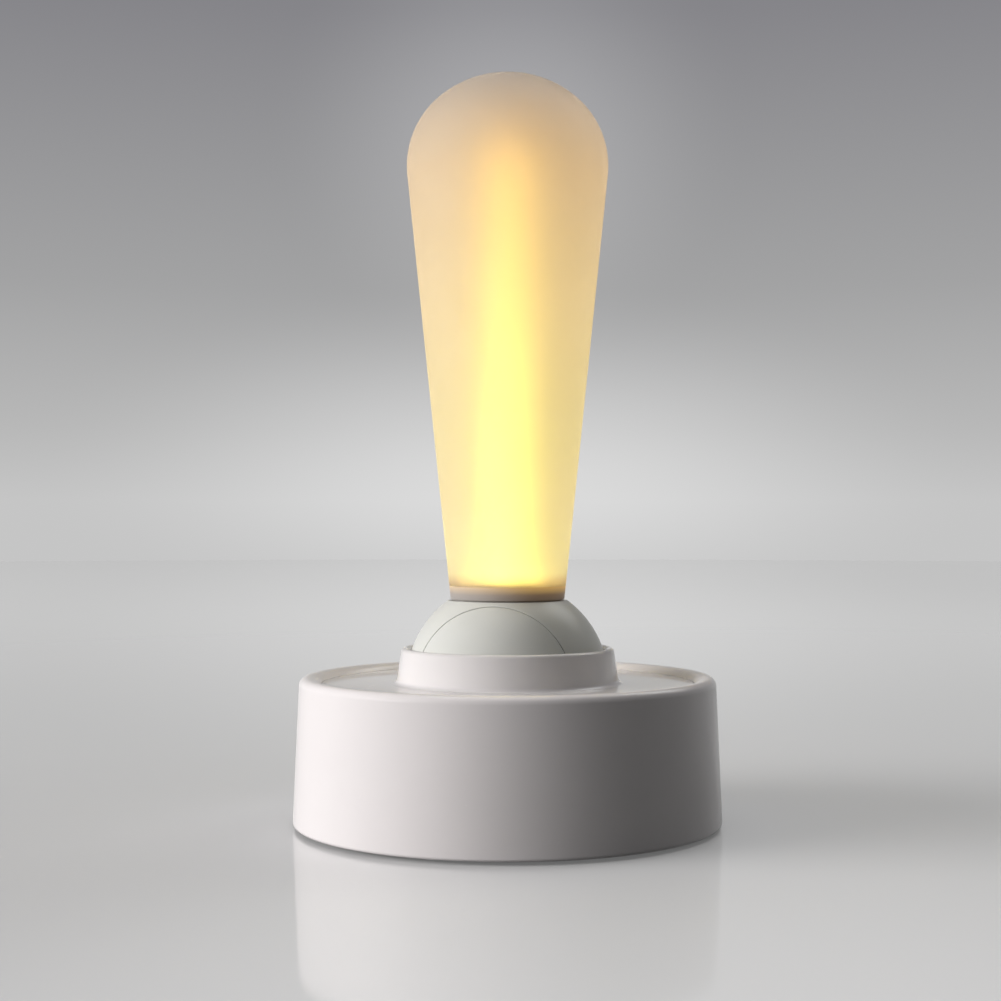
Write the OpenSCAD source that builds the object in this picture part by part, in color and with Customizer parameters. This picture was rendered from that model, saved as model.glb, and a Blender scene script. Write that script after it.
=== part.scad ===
// Rocker night light: a drum base, a ball seated in a collar, and a glowing wand that works the switch.
// Millimetres, +Z up. The origin is on the table under the middle of the drum, and the front is -Y.

/* [Drum] */
// Radius of the drum's wall, carried down to the table
drum_r = 41.45; // [40:0.05:46]
// Lean of the drum's wall, in degrees
drum_draft = 2.46; // [0:0.02:4]
// Height of the rim above the table
rim_z = 28.65; // [27.6:0.05:34]
// Rounding of the rim's outer edge
rim_round = 1.2; // [0.6:0.1:2]
// Width of the level crest of the rim
rim_flat = 0.45; // [0.1:0.05:2]
// Rounding of the slope from the crest down to the deck
slope_round = 3; // [2.2:0.1:4]
// Rounding of the drum's lower edge
edge_round = 0.6; // [0.2:0.1:1.2]
// Thickness of the drum's wall at the rim
shell_wall = 2.4; // [1.8:0.1:3]
// Width of the ledge that carries the deck
ledge_w = 2.1; // [1.5:0.1:3]
// Thickness of that ledge
ledge_t = 1.8; // [1.2:0.1:3]

/* [Deck and collar] */
// Depth of the deck below the rim
deck_drop = 1.3; // [0.8:0.05:2]
// Thickness of the deck
deck_t = 2.2; // [1.6:0.1:3]
// Play between the deck's edge and the drum
deck_fit = 0.08; // [0.04:0.02:0.2]
// Thickness of the collar's wall at the deck
collar_wall = 1.6; // [1.2:0.05:2.4]
// Lean of the collar's outer wall, in degrees
collar_draft = 8.1; // [2:0.1:12]
// Height of the collar's wall above the deck, up to its rounded lip
collar_h = 5.95; // [4:0.05:8]
// Fillet at the collar's foot
collar_fillet = 1; // [0.4:0.1:1.6]
// Radius of the posts under the deck
post_r = 3; // [2.4:0.1:3.6]
// Space between the posts and the ledge
post_space = 1; // [0.5:0.1:2]

/* [Ball] */
// Radius of the ball
ball_r = 19.63; // [18.6:0.01:21]
// Height of the ball's centre above the deck
ball_rise = 0.1; // [-0.4:0.05:1]
// Gap between the ball and the collar
ball_gap = 0.35; // [0.25:0.05:0.6]
// Thickness of the ball's wall
ball_wall = 1.8; // [1.4:0.1:2.4]
// Thickness of the ball's flat top
top_t = 2; // [1.6:0.1:2.6]
// Width of the flat left round the wand's foot
flat_margin = 0.53; // [0.2:0.01:1]
// Radius of the round seam on the front and the back of the ball
seam_r = 15.1; // [14.4:0.05:15.6]
// Half the width of the groove at the seam
seam_groove = 0.2; // [0.1:0.02:0.4]
// Depth of the ball below its centre
skirt_drop = 6.5; // [5:0.1:7.5]
// Length of the ring on a cap that fits inside the ball
spigot_l = 1.24; // [0.8:0.02:1.5]
// Step of that ring outside the ball's inner edge
spigot_step = 0.95; // [0.6:0.05:1]
// Thickness of that ring
spigot_t = 1.25; // [1.2:0.05:1.6]
// Play between that ring and the ball
spigot_fit = 0.05; // [0.02:0.01:0.1]

/* [Wand] */
// Height of the gap between the ball's flat and the wand
neck_gap = 0.6; // [0.3:0.05:1.2]
// Radius of the wand's foot
wand_foot_r = 11.1; // [10.6:0.05:12]
// Overhang of the wand's head past the ball's widest place
head_over = 0; // [-1:0.01:1.2]
// Radius of the arc of the wand's shoulder
shoulder_r = 17.07; // [13:0.01:18]
// Radius of the arc of the wand's crown
crown_r = 21.13; // [21:0.01:30]
// Length of the wand from its foot to its crown
wand_len = 101.85; // [90:0.05:120]
// Thickness of the wand's frosted wall
shade_wall = 2; // [1.4:0.1:2.6]
// Radius of the dark neck below the wand
neck_r = 10.4; // [10:0.05:10.9]
// Height of the plug inside the wand's foot
plug_h = 1.74; // [1.5:0.02:3]
// Play between the plug and the wand
plug_fit = 0.08; // [0.04:0.01:0.2]

/* [Lamp] */
// Thickness of the lamp's board
lamp_board_t = 1; // [0.8:0.1:1.6]
// Space between the lamp board's edge and the wall of the wand's foot
lamp_board_gap = 0.3; // [0.2:0.05:0.8]
// Number of lamp chips
chip_count = 6; // [3:1:6]
// Length of a lamp chip, outwards from the axis
chip_l = 3.5; // [2.5:0.1:3.6]
// Width of a lamp chip, along the ring
chip_w = 2.8; // [2:0.1:3]
// Height of a lamp chip
chip_h = 0.7; // [0.5:0.1:1.2]
// Radius of the ring of lamp chips
chip_ring_r = 6.3; // [6:0.1:6.6]
// Radius of the light guide's foot
guide_foot_r = 4; // [3:0.1:4.2]
// Radius of the light guide's rounded tip
guide_tip_r = 3; // [2:0.1:3]
// Length of the light guide
guide_len = 87.4; // [60:0.1:92]

/* [Pivot] */
// Radius of the axle
axle_r = 2; // [1.6:0.05:2.4]
// Running play between the axle and the hub
axle_fit = 0.04; // [0.02:0.01:0.08]
// Play between the axle and the cradle's ears
ear_fit = 0.01; // [0.01:0.01:0.02]
// Thickness of the cradle's ears
ear_t = 2.5; // [2:0.1:3]
// Distance of the ears' outer faces inside the seam's plane
ear_inset = 1.54; // [1.5:0.02:2]
// Radius of the ears round the axle
ear_r = 4.2; // [4.1:0.1:5]
// Half the width of the ears at the height of the axle
ear_neck = 3.8; // [3.2:0.1:4]
// Half the width of the ears at their foot
ear_foot = 6; // [5:0.1:7]
// Distance of the axle's ends inside the seam's plane
axle_inset = 0.34; // [0.2:0.02:0.5]
// Radius of the axle's clips
clip_r = 3.6; // [3.2:0.1:4]
// Thickness of the axle's clips
clip_t = 0.6; // [0.4:0.1:0.7]
// Depth of the groove that holds a clip
clip_groove = 0.4; // [0.3:0.05:0.6]
// Width of a clip's open mouth
clip_mouth = 2.4; // [2:0.1:2.8]
// Play of a clip in its groove
clip_fit = 0.05; // [0.02:0.01:0.1]
// Thickness of the friction washers
washer_t = 0.5; // [0.3:0.1:0.8]
// Width of the friction washers' ring
washer_w = 2; // [1.5:0.1:2.4]
// Play between the friction washers and the axle
washer_fit = 0.1; // [0.05:0.05:0.2]
// Greatest swing of the wand to either side, in degrees
swing = 15; // [10:0.5:16]

/* [Hub] */
// Radius of the hub round the axle
hub_r = 4.6; // [4.4:0.1:5.4]
// Width of the hub's neck from left to right
hub_neck_x = 8; // [6:0.1:8.4]
// Distance of the hub's neck inside the hub's front and back ends
hub_neck_inset = 1.6; // [1:0.1:2]
// Thickness of the hub's flange under the ball's top
flange_t = 2; // [1.5:0.1:2.6]
// Rim left on the flange outside the lead hole
flange_edge = 0.9; // [0.5:0.1:1.6]
// Distance of the flange's screws inside the neck's front and back faces
flange_screw_wall = 1.8; // [1.4:0.1:2.4]
// Thickness of the fork's prongs
prong_t = 1.6; // [1.2:0.1:2]
// Width of the fork's prongs from front to back
prong_w = 3.6; // [3:0.1:4]
// Reach of the prongs past the switch knob's head
prong_reach = 1.3; // [1:0.1:1.5]
// Play between the prongs and the switch knob's head
fork_play = 0.25; // [0.2:0.05:0.4]

/* [Cover and feet] */
// Height of the drum's lower edge above the table
foot_gap = 0.6; // [0.4:0.05:1.2]
// Depth of the groove that holds the foot ring
foot_seat = 0.6; // [0.4:0.05:0.9]
// Width of the foot ring
foot_w = 4; // [2.5:0.1:4.5]
// Space between the foot ring and the drum's bore
foot_inset = 0.5; // [0.3:0.1:1]
// Play of the foot ring in its groove
foot_fit = 0.1; // [0.05:0.05:0.2]
// Thickness of the bottom cover
cover_t = 2.2; // [2:0.1:3]
// Width of the step that the cover is pressed against
cover_step = 0.6; // [0.4:0.1:1]
// Play between the cover's edge and the drum
cover_fit = 0.15; // [0.05:0.05:0.3]
// Radius of the pillars under the main board
pillar_r = 2.4; // [2:0.1:2.8]
// Height of those pillars
pillar_h = 8.4; // [8:0.1:9]
// Distance of the pillars from the middle, towards the front and the back
pillar_y = 7.5; // [6:0.1:8.5]
// Space between the pillars and the battery cell
pillar_space = 0.6; // [0.3:0.1:1]
// Thickness of the steel ballast ring
ballast_t = 4.5; // [3:0.1:6]
// Space round the ballast ring
ballast_space = 0.3; // [0.2:0.05:0.6]
// Space between the ballast ring and the pillars
ballast_gap = 1.4; // [0.6:0.1:2]

/* [Battery and board] */
// Length of the battery cell, from left to right
cell_l = 34; // [28:0.5:35]
// Width of the battery cell, from front to back
cell_w = 30; // [24:0.5:32]
// Thickness of the battery cell
cell_t = 6; // [4:0.1:7]
// Thickness of the pad under the cell
pad_t = 0.4; // [0.2:0.1:0.8]
// Distance of the pad's edge inside the cell's edge
pad_inset = 2; // [1:0.5:4]
// Radius of the cell's and the lamp's leads
lead_r = 0.6; // [0.4:0.05:0.7]
// Distance of each lead of the cell from the middle
cell_lead_y = 1.6; // [1:0.1:3]
// Radius of the bend in the cell's leads
cell_lead_bend = 1.2; // [1:0.1:1.3]
// Thickness of the main board
board_t = 1.6; // [1.2:0.1:1.8]
// Rim of the board outside its pillars
board_edge = 0.6; // [0.4:0.1:1]
// Width of the board's tongue towards the charging inlet
tongue_w = 15; // [12:0.5:18]
// Space between the tongue's end and the drum
tongue_space = 0.4; // [0.2:0.1:1]
// Distance of the control chips and the inductor from the middle, left and right
control_x = 5; // [4:0.1:7]
// Length of a control chip
control_l = 5; // [3:0.1:6]
// Width of a control chip
control_w = 4; // [3:0.1:5]
// Height of a control chip
control_h = 1.5; // [1:0.1:2]
// Radius of the power inductor
inductor_r = 2.5; // [1.5:0.1:3]
// Height of the power inductor
inductor_h = 2.4; // [1.5:0.1:3]
// Distance of the lamp's leads from the axis at the lamp
lead_x = 6.8; // [6.6:0.1:7]
// Distance of the lamp's leads from the axis at the main board
lead_board_x = 8.2; // [7.8:0.1:8.6]
// Half the distance between the lamp's two leads
lead_y = 0.9; // [0.8:0.05:1.1]
// Slack of the lamp's leads, as a bow to the side
lead_bow = 4.3; // [3:0.1:5]
// Play of the lamp's leads in their hole
lead_fit = 0.4; // [0.2:0.05:0.5]

/* [Charging inlet] */
// Width of the charging inlet
usb_w = 8.94; // [8.9:0.02:9]
// Height of the charging inlet
usb_h = 3.16; // [3.1:0.02:3.2]
// Length of the charging inlet
usb_l = 7.3; // [6.5:0.1:8]
// Thickness of the charging inlet's metal wall
usb_wall = 0.3; // [0.2:0.05:0.4]
// Depth of the charging inlet's mouth
usb_depth = 6.2; // [5:0.1:6.2]
// Width of the tongue in the mouth
usb_tongue_w = 6.7; // [6:0.1:7]
// Thickness of that tongue
usb_tongue_t = 0.7; // [0.5:0.1:0.9]
// Length of that tongue
usb_tongue_l = 4.5; // [3:0.1:5]
// Space round the charging inlet in the drum's wall
usb_space = 0.25; // [0.15:0.05:0.5]
// Distance of the mouth inside the drum's wall
usb_recess = 0.4; // [0.2:0.1:0.8]

/* [Switch] */
// Length of the slide switch along its travel
switch_l = 12; // [11.5:0.1:12.4]
// Width of the slide switch
switch_w = 6; // [5:0.1:7]
// Height of the slide switch
switch_h = 3.4; // [3.2:0.1:3.6]
// Thickness of the switch's insulating base
switch_base_t = 1; // [0.8:0.1:1.2]
// Thickness of the switch's metal can
can_t = 0.5; // [0.3:0.05:0.6]
// Space round the knob's stem in its slot
slot_space = 0.3; // [0.2:0.05:0.5]
// Length of the knob's foot inside the can
knob_foot_l = 4.8; // [4:0.1:5]
// Play of the knob's foot in the can
knob_play = 0.15; // [0.1:0.05:0.2]
// Width of the knob's square stem
knob_stem = 1.6; // [1.2:0.1:1.8]
// Radius of the knob's round head
knob_head_r = 1; // [0.9:0.05:1.1]
// Length of the knob's round head
knob_head_l = 4.4; // [4:0.1:5]
// Height of the knob's head above the can
knob_rise = 2.25; // [2.2:0.05:2.6]

/* [Cradle and screws] */
// Thickness of the cradle's plate
cradle_t = 1.6; // [1.2:0.1:2]
// Rim of the cradle's plate outside its screws, left and right
cradle_edge = 3; // [2.4:0.1:4]
// Rim of the cradle's plate outside its ears
cradle_margin = 0.4; // [0.2:0.1:1]
// Space round the switch and the lamp's leads in the plate's window
window_space = 1; // [0.6:0.1:1.4]
// Play of screws in the pieces that they pass through
screw_space = 0.15; // [0.1:0.05:0.3]
// Play of screws in the pieces that they bite into
screw_fit = 0.02; // [0.01:0.01:0.04]
// Radius of the small screws' shanks
small_screw_r = 0.95; // [0.8:0.05:1.1]
// Radius of the small screws' heads
small_head_r = 1.8; // [1.5:0.1:2]
// Height of the small screws' heads
small_head_h = 1.1; // [0.8:0.1:1.2]
// Bite of the small screws
small_bite = 5; // [3:0.1:6]
// Radius of the cover screws' shanks
cover_screw_r = 1.25; // [1:0.05:1.4]
// Radius of the cover screws' heads
cover_head_r = 2.2; // [1.9:0.1:2.4]
// Height of the cover screws' heads
cover_head_h = 1.1; // [0.8:0.1:1.2]
// Depth of the cover screws' heads inside the cover
cover_head_sink = 0.2; // [0.1:0.1:0.3]
// Bite of the cover screws
cover_bite = 8; // [5:0.1:12]
// Space past the tip of a screw
tip_space = 0.5; // [0.2:0.1:1]
// Length of the cross in a screw's head
cross_l = 2.2; // [1.6:0.1:2.6]
// Width of that cross
cross_w = 0.5; // [0.4:0.05:0.7]
// Depth of that cross
cross_d = 0.5; // [0.3:0.05:0.7]

/* [Hidden] */
$fn = 96;
// Overlap that lets a cut or a joined shape run past a face
over = 0.5;

function drum_wall(z) = drum_r - z * tan(drum_draft);

// Heights, from the table up
cover_top = foot_gap + cover_t;
board_z = cover_top + pillar_h;
board_top = board_z + board_t;
cradle_top = board_top + cradle_t;
switch_top = board_top + switch_h;
knob_z = switch_top + knob_rise;
deck_z = rim_z - deck_drop;
ledge_z = deck_z - deck_t;
pivot_z = deck_z + ball_rise;
usb_z = board_top + usb_h / 2;

// Drum, deck and cover
rim_arc_z = rim_z - rim_round;
rim_arc_r = drum_wall(rim_arc_z) - rim_round / cos(drum_draft);
slope_arc_z = rim_z - slope_round;
slope_arc_r = rim_arc_r - rim_flat;
slope_run = sqrt(pow(slope_round, 2) - pow(slope_round - deck_drop, 2));
edge_arc_z = foot_gap + edge_round;
edge_arc_r = drum_wall(edge_arc_z) - edge_round / cos(drum_draft);
well_r = slope_arc_r - slope_run;
deck_r = well_r - deck_fit;
ledge_r = well_r - ledge_w;
bore_r = drum_wall(rim_z) - shell_wall;
cover_bore = bore_r + cover_step;
cover_r = cover_bore - cover_fit;
foot_out = bore_r - foot_inset;
foot_in = foot_out - foot_w;
post_at = ledge_r - post_r - post_space;
post_places = [for (a = [45, 135, 225, 315]) post_at * [cos(a), sin(a)]];
pillar_x = cell_l / 2 + pillar_space + pillar_r;
pillar_places = [for (x = [-1, 1], y = [-1, 1]) [x * pillar_x, y * pillar_y]];
pillar_reach = norm([pillar_x, pillar_y]) + pillar_r;
board_r = pillar_reach + board_edge;
ballast_in = pillar_reach + ballast_gap;
ballast_out = bore_r - ballast_space;
post_notch = post_r + ballast_space;

// Collar
socket_r = ball_r + ball_gap;
collar_foot_r = socket_r + collar_wall;
function collar_outer(z) = collar_foot_r - (z - deck_z) * tan(collar_draft);
function collar_inner(z) = sqrt(pow(socket_r, 2) - pow(z - pivot_z, 2));
lip_z = deck_z + collar_h;
lip_r = (collar_outer(lip_z) - collar_inner(lip_z)) / (1 + 1 / cos(collar_draft));
lip_mid = collar_inner(lip_z) + lip_r;
fillet_z = deck_z + collar_fillet;
fillet_r = collar_outer(fillet_z) + collar_fillet / cos(collar_draft);

// Ball
ball_in = ball_r - ball_wall;
flat_r = wand_foot_r + flat_margin;
flat_h = sqrt(pow(ball_r, 2) - pow(flat_r, 2));
flat_z = pivot_z + flat_h;
top_in_z = flat_z - top_t;
seam_y = sqrt(pow(ball_r, 2) - pow(seam_r, 2));
spigot_out = sqrt(pow(ball_in, 2) - pow(seam_y, 2)) + spigot_step;
spigot_in = spigot_out - spigot_t;
skirt_z = pivot_z - skirt_drop;

// Pivot and hub
ear_out = seam_y - ear_inset;
ear_in = ear_out - ear_t;
axle_half = seam_y - axle_inset;
hub_half = ear_in - washer_t;
hub_neck_half = hub_half - hub_neck_inset;
flange_z = top_in_z - flange_t;
lead_hole_r = lead_y + lead_r + lead_fit;
flange_r = lead_x + lead_hole_r + flange_edge;
flange_screws = [for (side = [-1, 1]) [0, side * (hub_neck_half - flange_screw_wall)]];
fork_gap = knob_head_r + fork_play;
fork_arm = pivot_z - knob_z;
knob_travel = fork_arm * swing * PI / 180;
// Middle of the free strips of board in front of and behind the cradle
free_strip_y = (ear_out + cradle_margin + board_r) / 2;

// Wand
shade_z = flat_z + neck_gap;
crown_z = shade_z + wand_len;
crown_arc = [0, crown_z - crown_r];
shoulder_x = ball_r + head_over - shoulder_r;
shoulder_arc = [shoulder_x, crown_arc[1] + sqrt(pow(crown_r - shoulder_r, 2) - pow(shoulder_x, 2))];
foot_to_shoulder = shoulder_arc - [wand_foot_r, shade_z];
taper = atan2(foot_to_shoulder[0], foot_to_shoulder[1]) + asin(shoulder_r / norm(foot_to_shoulder));
crown_turn = atan2(shoulder_arc[1] - crown_arc[1], shoulder_x);
plug_r = wand_foot_r - shade_wall / cos(taper) - plug_fit;
plug_top = shade_z + plug_h;
lamp_board_r = plug_r - lamp_board_gap + plug_fit;
lamp_z = plug_top + lamp_board_t;

// Charging inlet
usb_mouth = sqrt(pow(drum_wall(usb_z), 2) - pow(usb_w / 2, 2)) - usb_recess;
tongue_end = sqrt(pow(bore_r, 2) - pow(tongue_w / 2, 2)) - tongue_space;

// Slice of a disc between two angles
module sector(centre, radius, from, to) {
    reach = 2 * radius;
    intersection() {
        translate(centre) circle(r = radius);
        polygon(concat([centre], [for (i = [0:2]) let (a = from + (to - from) * i / 2)
            centre + reach * [cos(a), sin(a)]]));
    }
}

// Flat outline with round ends
module stadium(width, height) {
    square([width - height, height], center = true);
    for (side = [-1, 1])
        translate([side * (width - height) / 2, 0]) circle(d = height);
}

// Upright tube
module ring(outer, inner, height) {
    difference() {
        cylinder(r = outer, h = height);
        translate([0, 0, -over]) cylinder(r = inner, h = height + 2 * over);
    }
}

// Cylinder along Y, centred on the pivot
module along_axle(radius, from, to) {
    translate([0, from, pivot_z]) rotate([-90, 0, 0]) cylinder(r = radius, h = to - from);
}

// Block between two heights and, where they are given, between two places along Y
module slab(low, high, from = -2 * drum_r, to = 2 * drum_r) {
    translate([-2 * drum_r, from, low]) cube([4 * drum_r, to - from, high - low]);
}

// Screw whose head lies below its origin, with its shank upwards
module screw(head_r, head_h, shank_r, shank_l) {
    difference() {
        union() {
            translate([0, 0, -head_h]) cylinder(r = head_r, h = head_h);
            translate([0, 0, -over]) cylinder(r = shank_r, h = shank_l + over);
        }
        for (turn = [0, 90])
            rotate(turn) translate([-cross_l / 2, -cross_w / 2, -head_h - over])
                cube([cross_l, cross_w, cross_d + over]);
    }
}

module shell_profile() {
    polygon([
        [cover_bore, foot_gap],
        [edge_arc_r, foot_gap],
        [edge_arc_r, edge_arc_z],
        [edge_arc_r + edge_round * cos(drum_draft), edge_arc_z + edge_round * sin(drum_draft)],
        [rim_arc_r + rim_round * cos(drum_draft), rim_arc_z + rim_round * sin(drum_draft)],
        [rim_arc_r, rim_arc_z],
        [rim_arc_r, rim_z],
        [slope_arc_r, rim_z],
        [slope_arc_r, slope_arc_z],
        [well_r, deck_z],
        [well_r, ledge_z],
        [ledge_r, ledge_z],
        [ledge_r, ledge_z - ledge_t],
        [bore_r, ledge_z - ledge_t],
        [bore_r, cover_top],
        [cover_bore, cover_top]
    ]);
    sector([edge_arc_r, edge_arc_z], edge_round, -90, drum_draft);
    sector([rim_arc_r, rim_arc_z], rim_round, drum_draft, 90);
    sector([slope_arc_r, slope_arc_z], slope_round, 90, 90 + acos((slope_round - deck_drop) / slope_round));
}

module base_shell() {
    color("#f1ecea") difference() {
        rotate_extrude() shell_profile();
        translate([0, drum_r + over, usb_z]) rotate([90, 0, 0])
            linear_extrude(drum_r - bore_r + 2 * over)
                stadium(usb_w + 2 * usb_space, usb_h + 2 * usb_space);
    }
}

module deck_profile() {
    lean = [cos(collar_draft), sin(collar_draft)];
    difference() {
        polygon([
            [0, ledge_z],
            [deck_r, ledge_z],
            [deck_r, deck_z],
            [fillet_r, deck_z],
            [fillet_r, fillet_z],
            [fillet_r, fillet_z] - collar_fillet * lean,
            [lip_mid, lip_z] + lip_r * lean,
            [lip_mid, lip_z],
            [0, lip_z]
        ]);
        translate([0, pivot_z]) circle(r = socket_r);
        translate([fillet_r, fillet_z]) circle(r = collar_fillet);
    }
    sector([lip_mid, lip_z], lip_r, collar_draft, 180);
}

module top_deck() {
    color("#f1ecea") {
        rotate_extrude() deck_profile();
        for (place = post_places)
            translate([place[0], place[1], cover_top]) difference() {
                cylinder(r = post_r, h = ledge_z - cover_top + over);
                translate([0, 0, -over])
                    cylinder(r = cover_screw_r + screw_fit, h = over + cover_bite + tip_space);
            }
    }
}

module bottom_cover() {
    color("#dcd8d6") difference() {
        union() {
            translate([0, 0, foot_gap]) cylinder(r = cover_r, h = cover_t);
            for (place = pillar_places)
                translate([place[0], place[1], cover_top - over])
                    cylinder(r = pillar_r, h = pillar_h + over);
        }
        translate([0, 0, foot_gap - over])
            ring(foot_out + foot_fit, foot_in - foot_fit, foot_seat + over);
        for (place = post_places) translate([place[0], place[1], foot_gap - over]) {
            cylinder(r = cover_screw_r + screw_space, h = cover_t + 2 * over);
            cylinder(r = cover_head_r + screw_space, h = over + cover_head_sink + cover_head_h);
        }
        for (place = pillar_places)
            translate([place[0], place[1], board_z - small_bite - tip_space])
                cylinder(r = small_screw_r + screw_fit, h = small_bite + tip_space + over);
    }
}

module foot_ring() {
    color("#55534f") ring(foot_out, foot_in, foot_gap + foot_seat);
}

module cover_screws() {
    color("#9a9da1")
        for (place = post_places)
            translate([place[0], place[1], foot_gap + cover_head_sink + cover_head_h])
                screw(cover_head_r, cover_head_h, cover_screw_r,
                      cover_top - foot_gap - cover_head_sink - cover_head_h + cover_bite);
}

// Ring that is slid over the posts, with a square notch for each that is open towards the middle
module ballast_ring() {
    notch_from = ballast_in / 2;
    color("#7d8288") translate([0, 0, cover_top]) linear_extrude(ballast_t) difference() {
        circle(r = ballast_out);
        circle(r = ballast_in);
        for (place = post_places) rotate(atan2(place[1], place[0]))
            translate([notch_from, -post_notch]) square([post_at + post_notch - notch_from, 2 * post_notch]);
    }
}

module cell_pad() {
    color("#2c2c2e") translate([pad_inset - cell_l / 2, pad_inset - cell_w / 2, cover_top])
        cube([cell_l - 2 * pad_inset, cell_w - 2 * pad_inset, pad_t]);
}

module battery_cell() {
    color("#b9bec4") translate([-cell_l / 2, -cell_w / 2, cover_top + pad_t]) cube([cell_l, cell_w, cell_t]);
}

module cell_leads() {
    bend_x = cell_l / 2 + lead_r;
    lead_z = cover_top + pad_t + cell_t / 2;
    color("#b03a34") for (side = [-1, 1]) translate([0, side * cell_lead_y, 0]) {
        translate([cell_l / 2, 0, lead_z]) rotate([0, 90, 0]) cylinder(r = lead_r, h = lead_r);
        translate([bend_x, 0, lead_z + cell_lead_bend]) rotate([90, 0, 0]) rotate([0, 0, -90])
            rotate_extrude(angle = 90) translate([cell_lead_bend, 0]) circle(r = lead_r);
        translate([bend_x + cell_lead_bend, 0, lead_z + cell_lead_bend])
            cylinder(r = lead_r, h = board_z - lead_z - cell_lead_bend);
    }
}

module main_board() {
    color("#2f6b45") translate([0, 0, board_z]) difference() {
        union() {
            cylinder(r = board_r, h = board_t);
            translate([-tongue_w / 2, 0, 0]) cube([tongue_w, tongue_end, board_t]);
        }
        for (place = pillar_places)
            translate([place[0], place[1], -over])
                cylinder(r = small_screw_r + screw_space, h = board_t + 2 * over);
    }
}

// Control chip on the main board
module control_chip(y) {
    translate([-control_x - control_l / 2, y - control_w / 2, board_top])
        cube([control_l, control_w, control_h]);
}

module charge_chip() {
    color("#1f2124") control_chip(free_strip_y);
}

module driver_chip() {
    color("#1f2124") control_chip(-free_strip_y);
}

module power_inductor() {
    color("#3a3c40") translate([control_x, -free_strip_y, board_top])
        cylinder(r = inductor_r, h = inductor_h);
}

module usb_socket() {
    color("#aeb2b6") translate([0, usb_mouth, usb_z]) rotate([90, 0, 0]) {
        difference() {
            linear_extrude(usb_l) stadium(usb_w, usb_h);
            translate([0, 0, -over])
                linear_extrude(usb_depth + over) stadium(usb_w - 2 * usb_wall, usb_h - 2 * usb_wall);
        }
        translate([-usb_tongue_w / 2, -usb_tongue_t / 2, usb_depth - usb_tongue_l])
            cube([usb_tongue_w, usb_tongue_t, usb_tongue_l + over]);
    }
}

module switch_base() {
    color("#3b3a38") translate([-switch_l / 2, -switch_w / 2, board_top])
        cube([switch_l, switch_w, switch_base_t]);
}

module switch_can() {
    inside = [switch_l - 2 * can_t, switch_w - 2 * can_t];
    slot = [knob_stem + 2 * (knob_travel + slot_space), knob_stem + 2 * slot_space];
    color("#b4b7ba") translate([0, 0, board_top + switch_base_t]) difference() {
        translate([-switch_l / 2, -switch_w / 2, 0]) cube([switch_l, switch_w, switch_h - switch_base_t]);
        translate([-inside[0] / 2, -inside[1] / 2, -over])
            cube([inside[0], inside[1], switch_h - switch_base_t - can_t + over]);
        translate([-slot[0] / 2, -slot[1] / 2, 0]) cube([slot[0], slot[1], switch_h]);
    }
}

module switch_knob() {
    foot_w_in = switch_w - 2 * can_t - 2 * knob_play;
    foot_z = board_top + switch_base_t + knob_play;
    color("#26272a") {
        translate([-knob_foot_l / 2, -foot_w_in / 2, foot_z])
            cube([knob_foot_l, foot_w_in, switch_top - can_t - knob_play - foot_z]);
        translate([-knob_stem / 2, -knob_stem / 2, foot_z]) cube([knob_stem, knob_stem, knob_z - foot_z]);
        translate([0, knob_head_l / 2, knob_z]) rotate([90, 0, 0])
            cylinder(r = knob_head_r, h = knob_head_l);
    }
}

module cradle() {
    plate = [2 * (pillar_x + cradle_edge), 2 * (ear_out + cradle_margin)];
    window = [2 * (lead_board_x + lead_r + window_space), switch_w + 2 * window_space];
    ear_h = pivot_z - board_top;
    color("#8f9296") difference() {
        union() {
            translate([-plate[0] / 2, -plate[1] / 2, board_top]) cube([plate[0], plate[1], cradle_t]);
            for (side = [-1, 1]) translate([0, side * (ear_in + ear_t / 2) + ear_t / 2, board_top])
                rotate([90, 0, 0]) linear_extrude(ear_t) {
                    polygon([[-ear_foot, 0], [ear_foot, 0], [ear_neck, ear_h], [-ear_neck, ear_h]]);
                    translate([0, ear_h]) circle(r = ear_r);
                }
        }
        along_axle(axle_r + ear_fit, -2 * ear_out, 2 * ear_out);
        translate([-window[0] / 2, -window[1] / 2, board_top - over])
            cube([window[0], window[1], cradle_t + 2 * over]);
        for (place = pillar_places)
            translate([place[0], place[1], board_top - over])
                cylinder(r = small_screw_r + screw_space, h = cradle_t + 2 * over);
    }
}

module cradle_screws() {
    color("#9a9da1") for (place = pillar_places)
        translate([place[0], place[1], cradle_top]) rotate([180, 0, 0])
            screw(small_head_r, small_head_h, small_screw_r, cradle_t + board_t + small_bite);
}

module pivot_axle() {
    color("#b9bdc2") difference() {
        along_axle(axle_r, -axle_half, axle_half);
        for (side = [0, 180]) rotate(side) translate([0, ear_out + clip_fit, pivot_z]) rotate([-90, 0, 0])
            ring(axle_r + over, axle_r - clip_groove, clip_t + 2 * clip_fit);
    }
}

module axle_clips() {
    color("#5c5f63") for (side = [0, 180])
        rotate(side) translate([0, ear_out + 2 * clip_fit, pivot_z]) rotate([-90, 0, 0]) difference() {
            ring(clip_r, axle_r - clip_groove + clip_fit, clip_t);
            translate([-clip_mouth / 2, 0, -over]) cube([clip_mouth, clip_r + over, clip_t + 2 * over]);
        }
}

module friction_washers() {
    color("#c9b27a") for (side = [0, 180])
        rotate(side) translate([0, hub_half, pivot_z]) rotate([-90, 0, 0])
            ring(axle_r + washer_fit + washer_w, axle_r + washer_fit, washer_t);
}

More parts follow.
